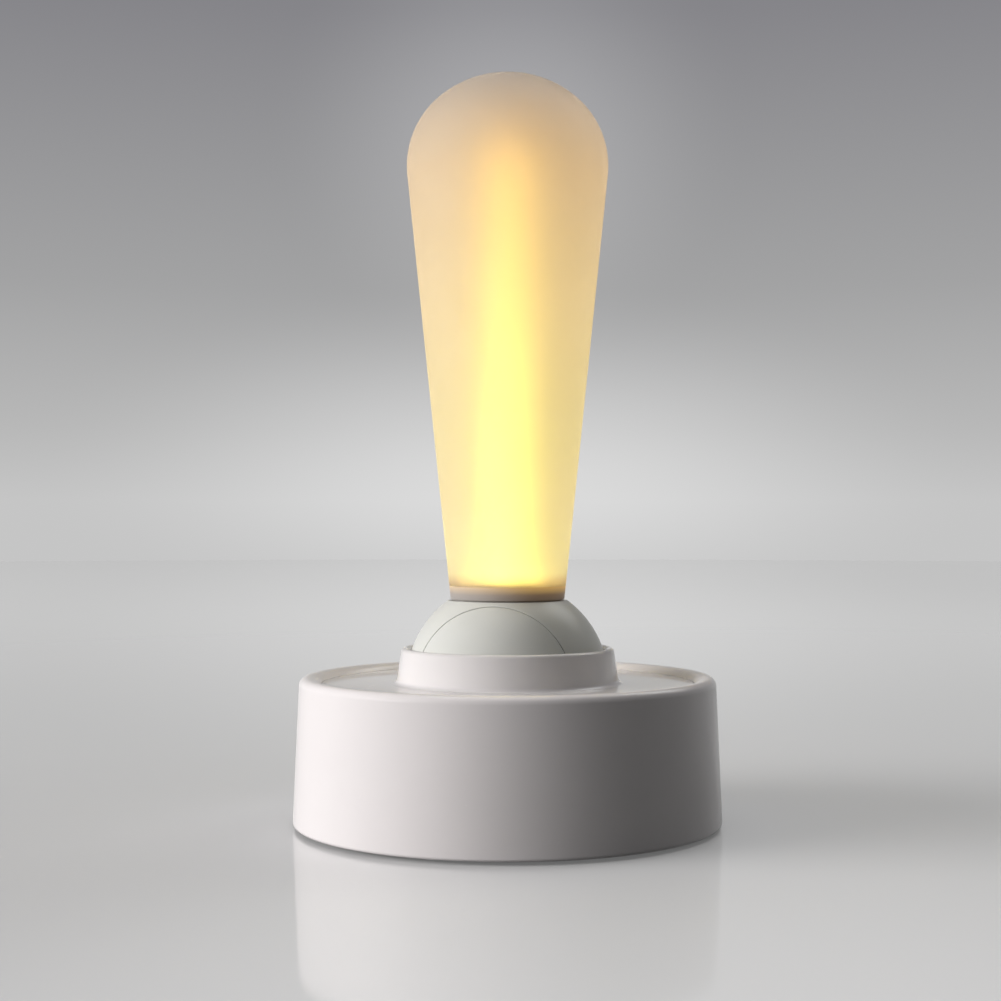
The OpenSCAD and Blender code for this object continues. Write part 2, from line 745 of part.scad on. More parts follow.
module rocker_hub() {
    prong_end = knob_z - prong_reach;
    prong_top = pivot_z - (axle_r + hub_r) / 2;
    color("#d9d7d2") difference() {
        union() {
            along_axle(hub_r, -hub_half, hub_half);
            translate([-hub_neck_x / 2, -hub_neck_half, pivot_z])
                cube([hub_neck_x, 2 * hub_neck_half, flange_z - pivot_z + over]);
            translate([0, 0, flange_z]) cylinder(r = flange_r, h = flange_t);
            for (x = [fork_gap, -fork_gap - prong_t])
                translate([x, -prong_w / 2, prong_end]) cube([prong_t, prong_w, prong_top - prong_end]);
        }
        along_axle(axle_r + axle_fit, -hub_half - over, hub_half + over);
        for (place = flange_screws)
            translate([place[0], place[1], top_in_z - small_bite - tip_space])
                cylinder(r = small_screw_r + screw_fit, h = small_bite + tip_space + over);
        translate([lead_x, 0, flange_z - over]) cylinder(r = lead_hole_r, h = flange_t + 2 * over);
    }
}

// Small ring-shaped notch that opens the seam between the ball and a cap
module seam_notch() {
    translate([0, seam_y, pivot_z]) rotate([-90, 0, 0]) rotate_extrude() translate([seam_r, 0])
        rotate(45) square(seam_groove * sqrt(2), center = true);
}

// Holes for the lamp's leads and the socket's screws
module top_holes(low, high) {
    translate([lead_x, 0, low]) cylinder(r = lead_hole_r, h = high - low);
    for (place = flange_screws)
        translate([place[0], place[1], low]) cylinder(r = small_screw_r + screw_space, h = high - low);
}

module ball_band() {
    color("#cfd0cb") difference() {
        intersection() {
            translate([0, 0, pivot_z]) sphere(r = ball_r);
            slab(skirt_z, flat_z, -seam_y, seam_y);
        }
        intersection() {
            translate([0, 0, pivot_z]) sphere(r = ball_in);
            slab(skirt_z - over, top_in_z);
        }
        for (side = [0, 180]) rotate(side) {
            seam_notch();
            along_axle(spigot_out + spigot_fit, seam_y - spigot_l - spigot_fit, seam_y + over);
        }
        top_holes(top_in_z - over, flat_z + over);
    }
}

module ball_cap() {
    difference() {
        intersection() {
            union() {
                difference() {
                    translate([0, 0, pivot_z]) sphere(r = ball_r);
                    slab(0, 2 * rim_z, -2 * drum_r, seam_y);
                    translate([0, 0, pivot_z]) sphere(r = ball_in);
                }
                difference() {
                    along_axle(spigot_out, seam_y - spigot_l, seam_y + over);
                    along_axle(spigot_in, seam_y - 2 * spigot_l, seam_y + 2 * over);
                }
            }
            slab(skirt_z, flat_z);
        }
        seam_notch();
    }
}

module ball_front_cap() {
    color("#cfd0cb") rotate(180) ball_cap();
}

module ball_rear_cap() {
    color("#cfd0cb") ball_cap();
}

module wand_socket() {
    color("#6f6e6a") difference() {
        union() {
            translate([0, 0, flat_z]) cylinder(r = neck_r, h = neck_gap);
            translate([0, 0, flat_z]) cylinder(r = plug_r, h = plug_top - flat_z);
        }
        top_holes(flat_z - over, plug_top + over);
        for (place = flange_screws)
            translate([place[0], place[1], plug_top - small_head_h])
                cylinder(r = small_head_r + screw_space, h = small_head_h + over);
    }
}

module socket_screws() {
    color("#9a9da1") for (place = flange_screws)
        translate([place[0], place[1], plug_top - small_head_h]) rotate([180, 0, 0])
            screw(small_head_r, small_head_h, small_screw_r,
                  plug_top - small_head_h - top_in_z + small_bite);
}

module led_board() {
    color("#e9e6dc") translate([0, 0, plug_top]) cylinder(r = lamp_board_r, h = lamp_board_t);
}

module led_chips() {
    color("#f4d36a") for (i = [0:chip_count - 1])
        rotate((i + 0.5) * 360 / chip_count) translate([chip_ring_r - chip_l / 2, -chip_w / 2, lamp_z])
            cube([chip_l, chip_w, chip_h]);
}

module light_guide() {
    tip_z = lamp_z + guide_len - guide_tip_r;
    color("#fff3c4") rotate_extrude() {
        polygon([[0, lamp_z], [guide_foot_r, lamp_z], [guide_tip_r, tip_z], [0, tip_z]]);
        sector([0, tip_z], guide_tip_r, 0, 90);
    }
}

// Half of the wand's outline, drawn in by an inset and carried below its foot
module wand_profile(inset, below) {
    foot_r = wand_foot_r - inset / cos(taper) - below * tan(taper);
    shoulder_out = (shoulder_r - inset) * [cos(taper), -sin(taper)];
    crown_out = (crown_r - inset) * [cos(crown_turn), sin(crown_turn)];
    polygon([
        [0, shade_z - below],
        [foot_r, shade_z - below],
        shoulder_arc + shoulder_out,
        crown_arc + crown_out,
        [0, crown_z - inset]
    ]);
    sector(shoulder_arc, shoulder_r - inset, -taper, crown_turn);
    sector(crown_arc, crown_r - inset, crown_turn, 90);
}

module shade() {
    color("#f7e3b0") rotate_extrude() difference() {
        wand_profile(0, 0);
        wand_profile(shade_wall, over);
    }
}

// Tube of eight sides along points of a plane across Y
module lead(points, radius) {
    sides = 8;
    last = len(points) - 1;
    function heading(i) = let (step = points[min(i + 1, last)] - points[max(i - 1, 0)]) step / norm(step);
    rings = [for (i = [0:last], s = [0:sides - 1])
        let (a = 360 * s / sides, way = i == 0 || i == last ? [0, -1] : heading(i))
        [points[i][0] - radius * cos(a) * way[1],
         radius * sin(a),
         points[i][1] + radius * cos(a) * way[0]]];
    walls = [for (i = [0:last - 1], s = [0:sides - 1], half = [0, 1])
        let (a = i * sides + s, b = i * sides + (s + 1) % sides)
        half == 0 ? [a, b, b + sides] : [a, b + sides, a + sides]];
    ends = [for (s = [1:sides - 2], half = [0, 1])
        half == 0 ? [0, s + 1, s] : [last * sides, last * sides + s, last * sides + s + 1]];
    polyhedron(rings, concat(walls, ends));
}

module led_leads() {
    steps = 16;
    route = concat([[lead_x, plug_top]], [for (i = [0:steps])
        let (t = i / steps)
        [lead_x + (lead_board_x - lead_x) * t + lead_bow * (1 - cos(360 * t)) / 2,
         flange_z + (board_top - flange_z) * t]]);
    color("#c8c6c0") for (side = [-1, 1]) translate([0, side * lead_y, 0]) lead(route, lead_r);
}

base_shell();
top_deck();
bottom_cover();
foot_ring();
cover_screws();
ballast_ring();
cell_pad();
battery_cell();
cell_leads();
main_board();
charge_chip();
driver_chip();
power_inductor();
usb_socket();
switch_base();
switch_can();
switch_knob();
cradle();
cradle_screws();
pivot_axle();
axle_clips();
friction_washers();
rocker_hub();
ball_band();
ball_front_cap();
ball_rear_cap();
wand_socket();
socket_screws();
led_board();
led_chips();
light_guide();
shade();
led_leads();
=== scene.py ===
"""Night light with a swinging wand: the looks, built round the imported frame.

Sizes are millimetres and angles are degrees unless a name says otherwise. Meshes are modelled in
millimetres and brought to metres when a piece is installed. The studio's places are in metres.
"""
import logging
import math
from dataclasses import dataclass, field
from enum import Enum
from typing import Any

import bmesh
import bpy
from mathutils import Matrix, Vector


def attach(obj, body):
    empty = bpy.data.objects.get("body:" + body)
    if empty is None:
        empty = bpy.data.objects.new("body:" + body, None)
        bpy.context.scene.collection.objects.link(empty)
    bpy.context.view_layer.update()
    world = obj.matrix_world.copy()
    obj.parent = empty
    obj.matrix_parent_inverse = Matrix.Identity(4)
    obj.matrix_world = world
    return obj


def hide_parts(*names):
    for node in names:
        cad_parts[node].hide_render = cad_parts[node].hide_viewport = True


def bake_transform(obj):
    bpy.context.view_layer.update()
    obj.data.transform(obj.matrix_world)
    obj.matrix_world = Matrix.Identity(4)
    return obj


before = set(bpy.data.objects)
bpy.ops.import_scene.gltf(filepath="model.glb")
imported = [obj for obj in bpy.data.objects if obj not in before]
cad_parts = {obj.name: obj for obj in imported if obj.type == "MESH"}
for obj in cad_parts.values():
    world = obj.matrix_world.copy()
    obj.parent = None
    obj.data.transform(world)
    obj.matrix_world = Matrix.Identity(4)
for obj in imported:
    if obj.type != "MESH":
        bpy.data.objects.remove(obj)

LOG = logging.getLogger("night_light")
MM = 0.001
FULL_TURN = 2 * math.pi
QUARTER_TURN = math.pi / 2
MERGE_DISTANCE = 1e-4
CREASE = math.radians(32.0)
CORNER = math.radians(45.0)
ROD_SIDES = 48
FADE_SCALE = 16.0
PICTURE_SIDE = 1001

Colour = tuple[float, float, float]
Point = tuple[float, float, float]
Span = tuple[Any, Any]
Mesh = bmesh.types.BMesh
Vert = bmesh.types.BMVert
Edge = bmesh.types.BMEdge
Face = bmesh.types.BMFace
Tree = bpy.types.NodeTree
Node = bpy.types.Node
Socket = bpy.types.NodeSocket
Material = bpy.types.Material
Piece = bpy.types.Object

WHITE: Colour = (1.0, 1.0, 1.0)
UNIT: Span = (0.0, 1.0)


class Body(Enum):
    """Moving bodies of the frame."""

    BASE = "base"
    ROCKER = "rocker"


class Side(Enum):
    """Sides of the upright plane through the middle, by their sign along Y."""

    FRONT = -1.0
    BACK = 1.0


class Fade(Enum):
    """How a mapped value runs from one end of its span to the other."""

    EVEN = "LINEAR"
    SOFT = "SMOOTHSTEP"


@dataclass(frozen=True)
class Role:
    """What a finished piece is called, what it rides on and which node it stands for."""

    name: str
    body: Body
    node: str


def rgba(colour: Colour) -> tuple[float, float, float, float]:
    """Returns a colour with full cover."""
    return (*colour, 1.0)


def compass(azimuth: float, elevation: float) -> Vector:
    """Returns the direction at an azimuth, counted from the front to the right, and an elevation."""
    turn, rise = math.radians(azimuth), math.radians(elevation)
    return Vector((math.sin(turn) * math.cos(rise), -math.cos(turn) * math.cos(rise), math.sin(rise)))


def tidy_mesh(bm: Mesh) -> Mesh:
    """Closes seams and poles and turns the faces outwards.

    Args:
        bm: Mesh in millimetres.

    Returns:
        The same mesh.
    """
    bmesh.ops.remove_doubles(bm, verts=bm.verts[:], dist=MERGE_DISTANCE)
    bmesh.ops.dissolve_degenerate(bm, edges=bm.edges[:], dist=MERGE_DISTANCE)
    bmesh.ops.recalc_face_normals(bm, faces=bm.faces[:])
    return bm


def verts_in(parts: list[Any]) -> list[Vert]:
    """Returns the vertices among parts of a mesh."""
    return [part for part in parts if isinstance(part, Vert)]


def push_face(bm: Mesh, face: Face, way: Point) -> None:
    """Extrudes a face, which leaves walls behind it.

    Args:
        bm: Mesh that holds the face.
        face: Face to push, whose place a moved copy takes.
        way: Direction and length of the push.
    """
    grown = bmesh.ops.extrude_face_region(bm, geom=[face])["geom"]
    bmesh.ops.translate(bm, vec=way, verts=verts_in(grown))
    bmesh.ops.delete(bm, geom=[face], context="FACES_ONLY")


def add_rod(bm: Mesh, radius: float, middle: Point, length: float) -> list[Vert]:
    """Adds an upright round rod to a mesh.

    Args:
        bm: Mesh to add the rod to.
        radius: Radius of the rod.
        middle: Middle of the rod.
        length: Length of the rod.

    Returns:
        Vertices of the rod.
    """
    return bmesh.ops.create_cone(
        bm, cap_ends=True, segments=ROD_SIDES, radius1=radius, radius2=radius, depth=length,
        matrix=Matrix.Translation(middle),
    )["verts"]


class Outline:
    """Half outline of a turned piece, drawn in the XZ plane and spun about the upright axis."""

    def __init__(self, radius: float, height: float) -> None:
        """Starts the outline at a radius and a height."""
        self.bm = bmesh.new()
        self.first = self.tip = self.bm.verts.new((radius, 0.0, height))

    def to(self, radius: float, height: float) -> "Outline":
        """Draws a straight line.

        Args:
            radius: Radius of the line's end from the axis.
            height: Height of the line's end.

        Returns:
            The outline.
        """
        self.tip = bmesh.ops.extrude_vert_indiv(self.bm, verts=[self.tip])["verts"][0]
        self.tip.co = (radius, 0.0, height)
        return self

    def arc(self, radius: float, height: float, degrees: float, steps: int) -> "Outline":
        """Draws an arc about a centre.

        Args:
            radius: Radius of the arc's centre from the axis.
            height: Height of the arc's centre.
            degrees: Turn of the arc, anticlockwise with the axis on the left.
            steps: Number of straight steps in the arc.

        Returns:
            The outline.
        """
        swept = bmesh.ops.spin(
            self.bm, geom=[self.tip], cent=(radius, 0.0, height), axis=(0.0, -1.0, 0.0),
            angle=math.radians(degrees), steps=steps,
        )
        self.tip = verts_in(swept["geom_last"])[0]
        return self

    def close(self) -> "Outline":
        """Joins the outline's end to its start, and returns the outline."""
        bmesh.ops.contextual_create(self.bm, geom=[self.tip, self.first])
        return self

    def turned(self, steps: int) -> Mesh:
        """Spins the outline through a full turn.

        Args:
            steps: Number of steps in the turn.

        Returns:
            The closed mesh.
        """
        bmesh.ops.spin(
            self.bm, geom=self.bm.verts[:] + self.bm.edges[:], cent=(0.0, 0.0, 0.0),
            axis=(0.0, 0.0, 1.0), angle=FULL_TURN, steps=steps, use_merge=True,
        )
        return tidy_mesh(self.bm)


def loose_object(bm: Mesh, name: str) -> Piece:
    """Puts a mesh into the scene as an object at the origin, and frees it.

    Args:
        bm: Mesh to show.
        name: Name of the object.

    Returns:
        The new object.
    """
    mesh = bpy.data.meshes.new(name)
    bm.to_mesh(mesh)
    bm.free()
    piece = bpy.data.objects.new(name, mesh)
    bpy.context.scene.collection.objects.link(piece)
    return piece


def cut_away(bm: Mesh, cutter: Mesh) -> Mesh:
    """Cuts one closed mesh out of another.

    Args:
        bm: Mesh to cut, which is freed.
        cutter: Mesh to take away, which is freed.

    Returns:
        The cut mesh.
    """
    blank, tool = loose_object(bm, "blank"), loose_object(cutter, "tool")
    cut = blank.modifiers.new("cut", "BOOLEAN")
    cut.object, cut.solver = tool, "EXACT"
    result = bmesh.new()
    result.from_object(blank, bpy.context.evaluated_depsgraph_get())
    for used in (blank, tool):
        mesh = used.data
        bpy.data.objects.remove(used)
        bpy.data.meshes.remove(mesh)
    return tidy_mesh(result)


def new_material(name: str) -> tuple[Material, Tree]:
    """Makes a material with nodes.

    Args:
        name: Name of the material.

    Returns:
        The material and its tree.
    """
    material = bpy.data.materials.new(name)
    material.use_nodes = True
    return material, material.node_tree


def feed(tree: Tree, node: Node, inputs: dict[Any, Any]) -> None:
    """Sets or links a node's inputs.

    Args:
        tree: Tree that holds the node.
        node: Node to feed.
        inputs: Value or source socket for each named or numbered input.
    """
    for key, value in inputs.items():
        if isinstance(value, Socket):
            tree.links.new(value, node.inputs[key])
        else:
            node.inputs[key].default_value = value


def add_node(tree: Tree, kind: str, inputs: dict[Any, Any] | None = None, **settings: Any) -> Node:
    """Adds a shader node.

    Args:
        tree: Tree to add the node to.
        kind: Type name of the node.
        inputs: Value or source socket for each named or numbered input.
        **settings: Properties of the node.

    Returns:
        The new node.
    """
    node = tree.nodes.new(kind)
    for key, value in settings.items():
        setattr(node, key, value)
    feed(tree, node, inputs or {})
    return node


def object_place(tree: Tree) -> Socket:
    """Returns the socket that gives a point's place on its own object."""
    return add_node(tree, "ShaderNodeTexCoord").outputs["Object"]


def noise(tree: Tree, place: Socket, scale: Any, **settings: float) -> Socket:
    """Adds cloudy noise at a place and a scale, and returns the socket that gives it."""
    inputs = {"Vector": place, "Scale": scale, **settings}
    return add_node(tree, "ShaderNodeTexNoise", inputs).outputs["Fac"]


def combine(tree: Tree, operation: str, *values: Any, clamp: bool = False) -> Socket:
    """Adds a node that works on plain values, and returns the socket that gives its result."""
    inputs = dict(enumerate(values))
    return add_node(tree, "ShaderNodeMath", inputs, operation=operation, use_clamp=clamp).outputs[0]


def combine_vectors(tree: Tree, operation: str, *values: Any) -> Socket:
    """Adds a node that works on vectors or colours, and returns the socket that gives its result."""
    return add_node(tree, "ShaderNodeVectorMath", dict(enumerate(values)), operation=operation).outputs[0]


def remap(tree: Tree, value: Socket, source: Span = UNIT, target: Span = UNIT,
          fade: Fade = Fade.EVEN) -> Socket:
    """Maps a value from one span to another, and keeps it inside.

    Args:
        tree: Tree to add the node to.
        value: Socket that gives the value.
        source: Ends of the span that the value comes from.
        target: Ends of the span that it is brought to.
        fade: How it runs between the ends.

    Returns:
        The socket that gives the mapped value.
    """
    labels = ("From Min", "From Max", "To Min", "To Max")
    inputs = {"Value": value, **dict(zip(labels, (*source, *target)))}
    return add_node(tree, "ShaderNodeMapRange", inputs, interpolation_type=fade.value).outputs[0]


def mix_colours(tree: Tree, share: Socket, first: Any, second: Any) -> Socket:
    """Mixes two colours by a share, and returns the socket that gives the result."""
    inputs = {"Factor": share, "A": first, "B": second}
    return add_node(tree, "ShaderNodeMix", inputs, data_type="RGBA").outputs["Result"]


class SharedEffects:
    """Node groups for effects that several materials use, each built once."""

    def __init__(self) -> None:
        """Builds the groups."""
        self.grain = self.build_grain()
        self.blotches = self.build_blotches()
        self.scuffs = self.build_scuffs()
        self.height_share = self.build_height_share()
        self.painted_pool = self.build_painted_pool()

    @staticmethod
    def new_group(name: str, inputs: dict[str, Any], output: str) -> tuple[Tree, Any, Any]:
        """Makes an empty group.

        Args:
            name: Name of the group.
            inputs: Default of each input, a number or a vector.
            output: Name of the output, a plain value.

        Returns:
            The group's tree, the sockets that give its inputs and the sockets that take its result.
        """
        tree = bpy.data.node_groups.new(name, "ShaderNodeTree")
        for label, default in inputs.items():
            kind = "NodeSocketVector" if isinstance(default, tuple) else "NodeSocketFloat"
            socket = tree.interface.new_socket(label, in_out="INPUT", socket_type=kind)
            socket.default_value = default
        tree.interface.new_socket(output, in_out="OUTPUT", socket_type="NodeSocketFloat")
        return tree, tree.nodes.new("NodeGroupInput").outputs, tree.nodes.new("NodeGroupOutput").inputs

    @staticmethod
    def place(tree: Tree, group: Tree, **inputs: Any) -> Socket:
        """Places a group in a material with its own values, and returns the socket of its result."""
        return add_node(tree, "ShaderNodeGroup", inputs, node_tree=group).outputs[0]

    def build_grain(self) -> Tree:
        """Builds fine grain, which may be drawn out along one direction.

        Returns:
            The group.
        """
        defaults = {"Stretch": (1.0, 1.0, 1.0), "Scale": 4000.0}
        tree, given, out = self.new_group("fine_grain", defaults, "Height")
        drawn = combine_vectors(tree, "MULTIPLY", object_place(tree), given["Stretch"])
        tree.links.new(noise(tree, drawn, given["Scale"], Detail=2.0, Roughness=0.55), out["Height"])
        return tree

    def build_blotches(self) -> Tree:
        """Builds broad soft patches, as from handling and uneven moulding.

        Returns:
            The group.
        """
        tree, given, out = self.new_group("soft_blotches", {"Scale": 60.0}, "Mask")
        clouds = noise(tree, object_place(tree), given["Scale"], Detail=3.0, Roughness=0.6, Distortion=0.4)
        tree.links.new(remap(tree, clouds, (0.3, 0.7), fade=Fade.SOFT), out["Mask"])
        return tree

    def build_scuffs(self) -> Tree:
        """Builds sparse hairline scuffs, kept to patches.

        Returns:
            The group.
        """
        tree, given, out = self.new_group("hairline_scuffs", {"Scale": 900.0}, "Mask")
        place = object_place(tree)
        turned = add_node(tree, "ShaderNodeMapping",
                          {"Vector": place, "Rotation": (0.5, 0.3, 0.7), "Scale": (1.0, 0.04, 1.0)})
        lines = remap(tree, noise(tree, turned.outputs[0], given["Scale"], Detail=1.0), (0.7, 0.78))
        patches = remap(tree, noise(tree, place, 90.0, Detail=1.0), (0.5, 0.65))
        tree.links.new(combine(tree, "MULTIPLY", lines, patches), out["Mask"])
        return tree

    def build_height_share(self) -> Tree:
        """Builds the share of the way from a low height to a high one.

        Returns:
            The group.
        """
        tree, given, out = self.new_group("height_share", {"Low": 0.0, "High": 1.0}, "Share")
        height = add_node(tree, "ShaderNodeSeparateXYZ", {0: object_place(tree)}).outputs["Z"]
        tree.links.new(remap(tree, height, (given["Low"], given["High"])), out["Share"])
        return tree

    def build_painted_pool(self) -> Tree:
        """Builds a round or oval pool for painted light and painted shade, which fades from its middle to
        its edge.

        Returns:
            The group.
        """
        defaults = {"Middle": (0.0, 0.0, 0.0), "Stretch": (1.0, 1.0, 1.0), "Radius": 1.0,
                    "Inside": 1.0, "Outside": 0.0}
        tree, given, out = self.new_group("painted_pool", defaults, "Level")
        offset = combine_vectors(tree, "SUBTRACT", object_place(tree), given["Middle"])
        oval = combine_vectors(tree, "MULTIPLY", offset, given["Stretch"])
        away = add_node(tree, "ShaderNodeVectorMath", {0: oval}, operation="LENGTH").outputs["Value"]
        faded = remap(tree, away, (0.0, given["Radius"]), (given["Inside"], given["Outside"]), Fade.SOFT)
        tree.links.new(faded, out["Level"])
        return tree


EFFECTS = SharedEffects()


@dataclass(frozen=True)
class Stop:
    """Colour at one height, in millimetres, of a ramp that climbs the piece."""

    height: float
    colour: Colour


def height_ramp(tree: Tree, stops: tuple[Stop, ...]) -> Socket:
    """Adds a ramp of colours along the upright axis.

    Args:
        tree: Tree of the material.
        stops: Colours from the lowest height to the highest.

    Returns:
        The socket that gives the colour.
    """
    low, high = stops[0].height, stops[-1].height
    share = EFFECTS.place(tree, EFFECTS.height_share, Low=low * MM, High=high * MM)
    ramp = add_node(tree, "ShaderNodeValToRGB", {"Fac": share})
    elements = ramp.color_ramp.elements
    for stop in stops[1:-1]:
        elements.new((stop.height - low) / (high - low))
    for element, stop in zip(elements, stops):
        element.color = rgba(stop.colour)
    return ramp.outputs["Color"]


@dataclass(frozen=True)
class Finish:
    """Opaque finish whose tone, gloss and skin vary over the surface."""

    slot: str
    colour: Colour
    roughness: float
    label: str = "finish"
    metallic: float = 0.0
    tone: float = 0.04
    gloss: float = 0.05
    blotch_scale: float = 70.0
    grain_scale: float = 5000.0
    grain_depth: float = 0.004
    stretch: Point = (1.0, 1.0, 1.0)
    scuff: float = 0.08
    specular: float = 0.5

    def colour_source(self, tree: Tree, mask: Socket) -> Socket:
        """Returns the socket that gives the finish its colour, a little darker in the blotches."""
        dark = tuple(part * (1.0 - self.tone) for part in self.colour)
        return mix_colours(tree, mask, rgba(self.colour), rgba(dark))

    def material(self) -> Material:
        """Gives the finish as a material, built when it is first asked for.

        Returns:
            The material.
        """
        name = f"{self.slot}_{self.label}"
        known = bpy.data.materials.get(name)
        if known is not None:
            return known
        material, tree = new_material(name)
        shader = tree.nodes["Principled BSDF"]
        blotch = EFFECTS.place(tree, EFFECTS.blotches, Scale=self.blotch_scale)
        scuffs = EFFECTS.place(tree, EFFECTS.scuffs)
        grain = EFFECTS.place(tree, EFFECTS.grain, Scale=self.grain_scale, Stretch=self.stretch)
        ends = (self.roughness - self.gloss / 2, self.roughness + self.gloss / 2)
        uneven = remap(tree, blotch, target=ends)
        bump = add_node(tree, "ShaderNodeBump",
                        {"Height": grain, "Strength": 1.0, "Distance": self.grain_depth * MM})
        feed(tree, shader, {
            "Base Color": self.colour_source(tree, blotch),
            "Roughness": combine(tree, "MULTIPLY_ADD", scuffs, self.scuff, uneven, clamp=True),
            "Normal": bump.outputs[0],
            "Metallic": self.metallic,
            "Specular IOR Level": self.specular,
        })
        self.complete(tree, shader)
        return material

    def complete(self, tree: Tree, shader: Node) -> None:
        """Adds what a special finish needs to the shader; a plain one needs nothing."""


@dataclass(frozen=True)
class GlowFinish(Finish):
    """Finish that gives light, with a colour that changes with height: the LED chips' own light, and
    painted glow on the light guide and the wand.
    """

    stops: tuple[Stop, ...] = ()
    strength: float = 1.0
    transmission: float = 0.0
    ior: float = 1.45

    def complete(self, tree: Tree, shader: Node) -> None:
        """Adds the glow and the light that passes through.

        Args:
            tree: Tree of the material.
            shader: Principled shader of the material.
        """
        feed(tree, shader, {
            "Emission Color": height_ramp(tree, self.stops),
            "Emission Strength": self.strength,
            "Transmission Weight": self.transmission,
            "IOR": self.ior,
        })


DRUM_PLASTIC = Finish("drum_plastic", (0.835, 0.8, 0.797), 0.22, tone=0.015, gloss=0.04, grain_scale=1800.0,
                      grain_depth=0.003, scuff=0.05)
# The drum's white plastic again, painted darker for the deck and collar as painted shade, with a glossier
# skin.
SHADED_DECK_PLASTIC = Finish("drum_plastic", (0.735, 0.712, 0.709), 0.06, label="deck", tone=0.015, gloss=0.03,
                      grain_scale=1800.0, grain_depth=0.002, scuff=0.05)
COVER_PLASTIC = Finish("cover_plastic", (0.70, 0.69, 0.68), 0.55, grain_scale=6000.0, grain_depth=0.02)
FOOT_RUBBER = Finish("foot_rubber", (0.055, 0.053, 0.05), 0.8, tone=0.2, grain_scale=9000.0,
                     grain_depth=0.03)
SCREW_STEEL = Finish("screw_steel", (0.56, 0.56, 0.57), 0.35, metallic=1.0, grain_scale=9000.0, scuff=0.2)
BALLAST_STEEL = Finish("ballast_steel", (0.42, 0.43, 0.45), 0.5, metallic=1.0, tone=0.15, grain_depth=0.01)
PAD_FOAM = Finish("pad_foam", (0.03, 0.03, 0.032), 0.95, grain_scale=3000.0, grain_depth=0.08)
CELL_FOIL = Finish("cell_foil", (0.62, 0.64, 0.66), 0.38, metallic=0.9, grain_scale=1500.0,
                   grain_depth=0.02)
LEAD_SLEEVE = Finish("lead_sleeve", (0.55, 0.09, 0.07), 0.5)
BOARD_GREEN = Finish("board_green", (0.03, 0.16, 0.07), 0.4, tone=0.25, blotch_scale=400.0)
CHIP_BLACK = Finish("chip_black", (0.02, 0.02, 0.022), 0.6, grain_depth=0.01)
INLET_STEEL = Finish("inlet_steel", (0.66, 0.66, 0.67), 0.28, metallic=1.0, stretch=(1.0, 0.05, 1.0),
                     grain_scale=8000.0, scuff=0.2)
SWITCH_BLACK = Finish("switch_black", (0.025, 0.025, 0.027), 0.5)
CAN_STEEL = Finish("can_steel", (0.62, 0.63, 0.64), 0.35, metallic=1.0, scuff=0.2)
CRADLE_STEEL = Finish("cradle_steel", (0.48, 0.49, 0.5), 0.4, metallic=1.0, stretch=(0.05, 1.0, 1.0))
AXLE_STEEL = Finish("axle_steel", (0.64, 0.65, 0.66), 0.22, metallic=1.0, stretch=(1.0, 0.05, 1.0))
CLIP_STEEL = Finish("clip_steel", (0.25, 0.25, 0.26), 0.4, metallic=1.0)
WASHER_BRASS = Finish("washer_brass", (0.65, 0.5, 0.24), 0.35, metallic=1.0)
HUB_PLASTIC = Finish("hub_plastic", (0.68, 0.67, 0.64), 0.45)
BALL_PLASTIC = Finish("ball_plastic", (0.672, 0.682, 0.648), 0.3, tone=0.02, gloss=0.04, grain_scale=2500.0,
                      grain_depth=0.003, scuff=0.05, specular=0.35)
SOCKET_PLASTIC = Finish("socket_plastic", (0.4, 0.39, 0.37), 0.5)
LAMP_BOARD = Finish("lamp_board_white", (0.8, 0.79, 0.75), 0.4)
LAMP_PHOSPHOR = GlowFinish("lamp_phosphor", (0.9, 0.75, 0.25), 0.5, strength=5.0, stops=(
    Stop(46.0, (1.0, 0.8, 0.2)), Stop(48.0, (1.0, 0.8, 0.2))))
# The light guide's emission is painted glow: light carried up from the LED chips, yellow at the foot and
# deeper orange towards the top.
GUIDE_PAINTED_GLOW = GlowFinish("guide_acrylic", (0.9, 0.85, 0.7), 0.3, strength=3.2, stops=(
    Stop(46.6, (0.95, 0.95, 0.16)), Stop(75.0, (0.95, 0.85, 0.12)), Stop(105.0, (0.92, 0.66, 0.06)),
    Stop(125.0, (0.95, 0.58, 0.04)), Stop(134.0, (0.88, 0.45, 0.03))))
# The wand's emission is painted glow: lamp light scattered in the silicone, painted by height, brightest
# just above the foot and fading towards the crown.
SHADE_SILICONE_PAINTED_GLOW = GlowFinish("shade_silicone", (0.55, 0.525, 0.485), 0.78, tone=0.03, grain_scale=4000.0,
                            grain_depth=0.004, transmission=0.86, ior=1.41, scuff=0.03, specular=0.25,
                            stops=(
    Stop(43.5, (0.01, 0.006, 0.002)), Stop(44.6, (0.02, 0.011, 0.003)), Stop(45.9, (0.09, 0.045, 0.01)),
    Stop(47.1, (0.2, 0.115, 0.045)), Stop(48.6, (0.3, 0.247, 0.1)), Stop(54.0, (0.3, 0.25, 0.1)),
    Stop(60.0, (0.285, 0.228, 0.094)), Stop(75.0, (0.272, 0.22, 0.088)), Stop(100.0, (0.264, 0.197, 0.088)),
    Stop(125.0, (0.226, 0.156, 0.078)), Stop(134.5, (0.172, 0.122, 0.074)),
    Stop(140.5, (0.1, 0.072, 0.05)), Stop(145.7, (0.045, 0.036, 0.034))))
# The wand's foot band is the same silicone as a darker opaque copy, painted shade, with a painted glow that
# fades towards the bottom.
SHADE_FOOT_PAINTED_SHADE_AND_GLOW = GlowFinish("shade_silicone", (0.33, 0.325, 0.32), 0.5, label="foot", tone=0.03, scuff=0.03,
                        stops=(
    Stop(43.5, (0.04, 0.018, 0.003)), Stop(44.6, (0.085, 0.04, 0.006)), Stop(45.7, (0.34, 0.19, 0.03)),
    Stop(46.4, (0.5, 0.3, 0.07))))

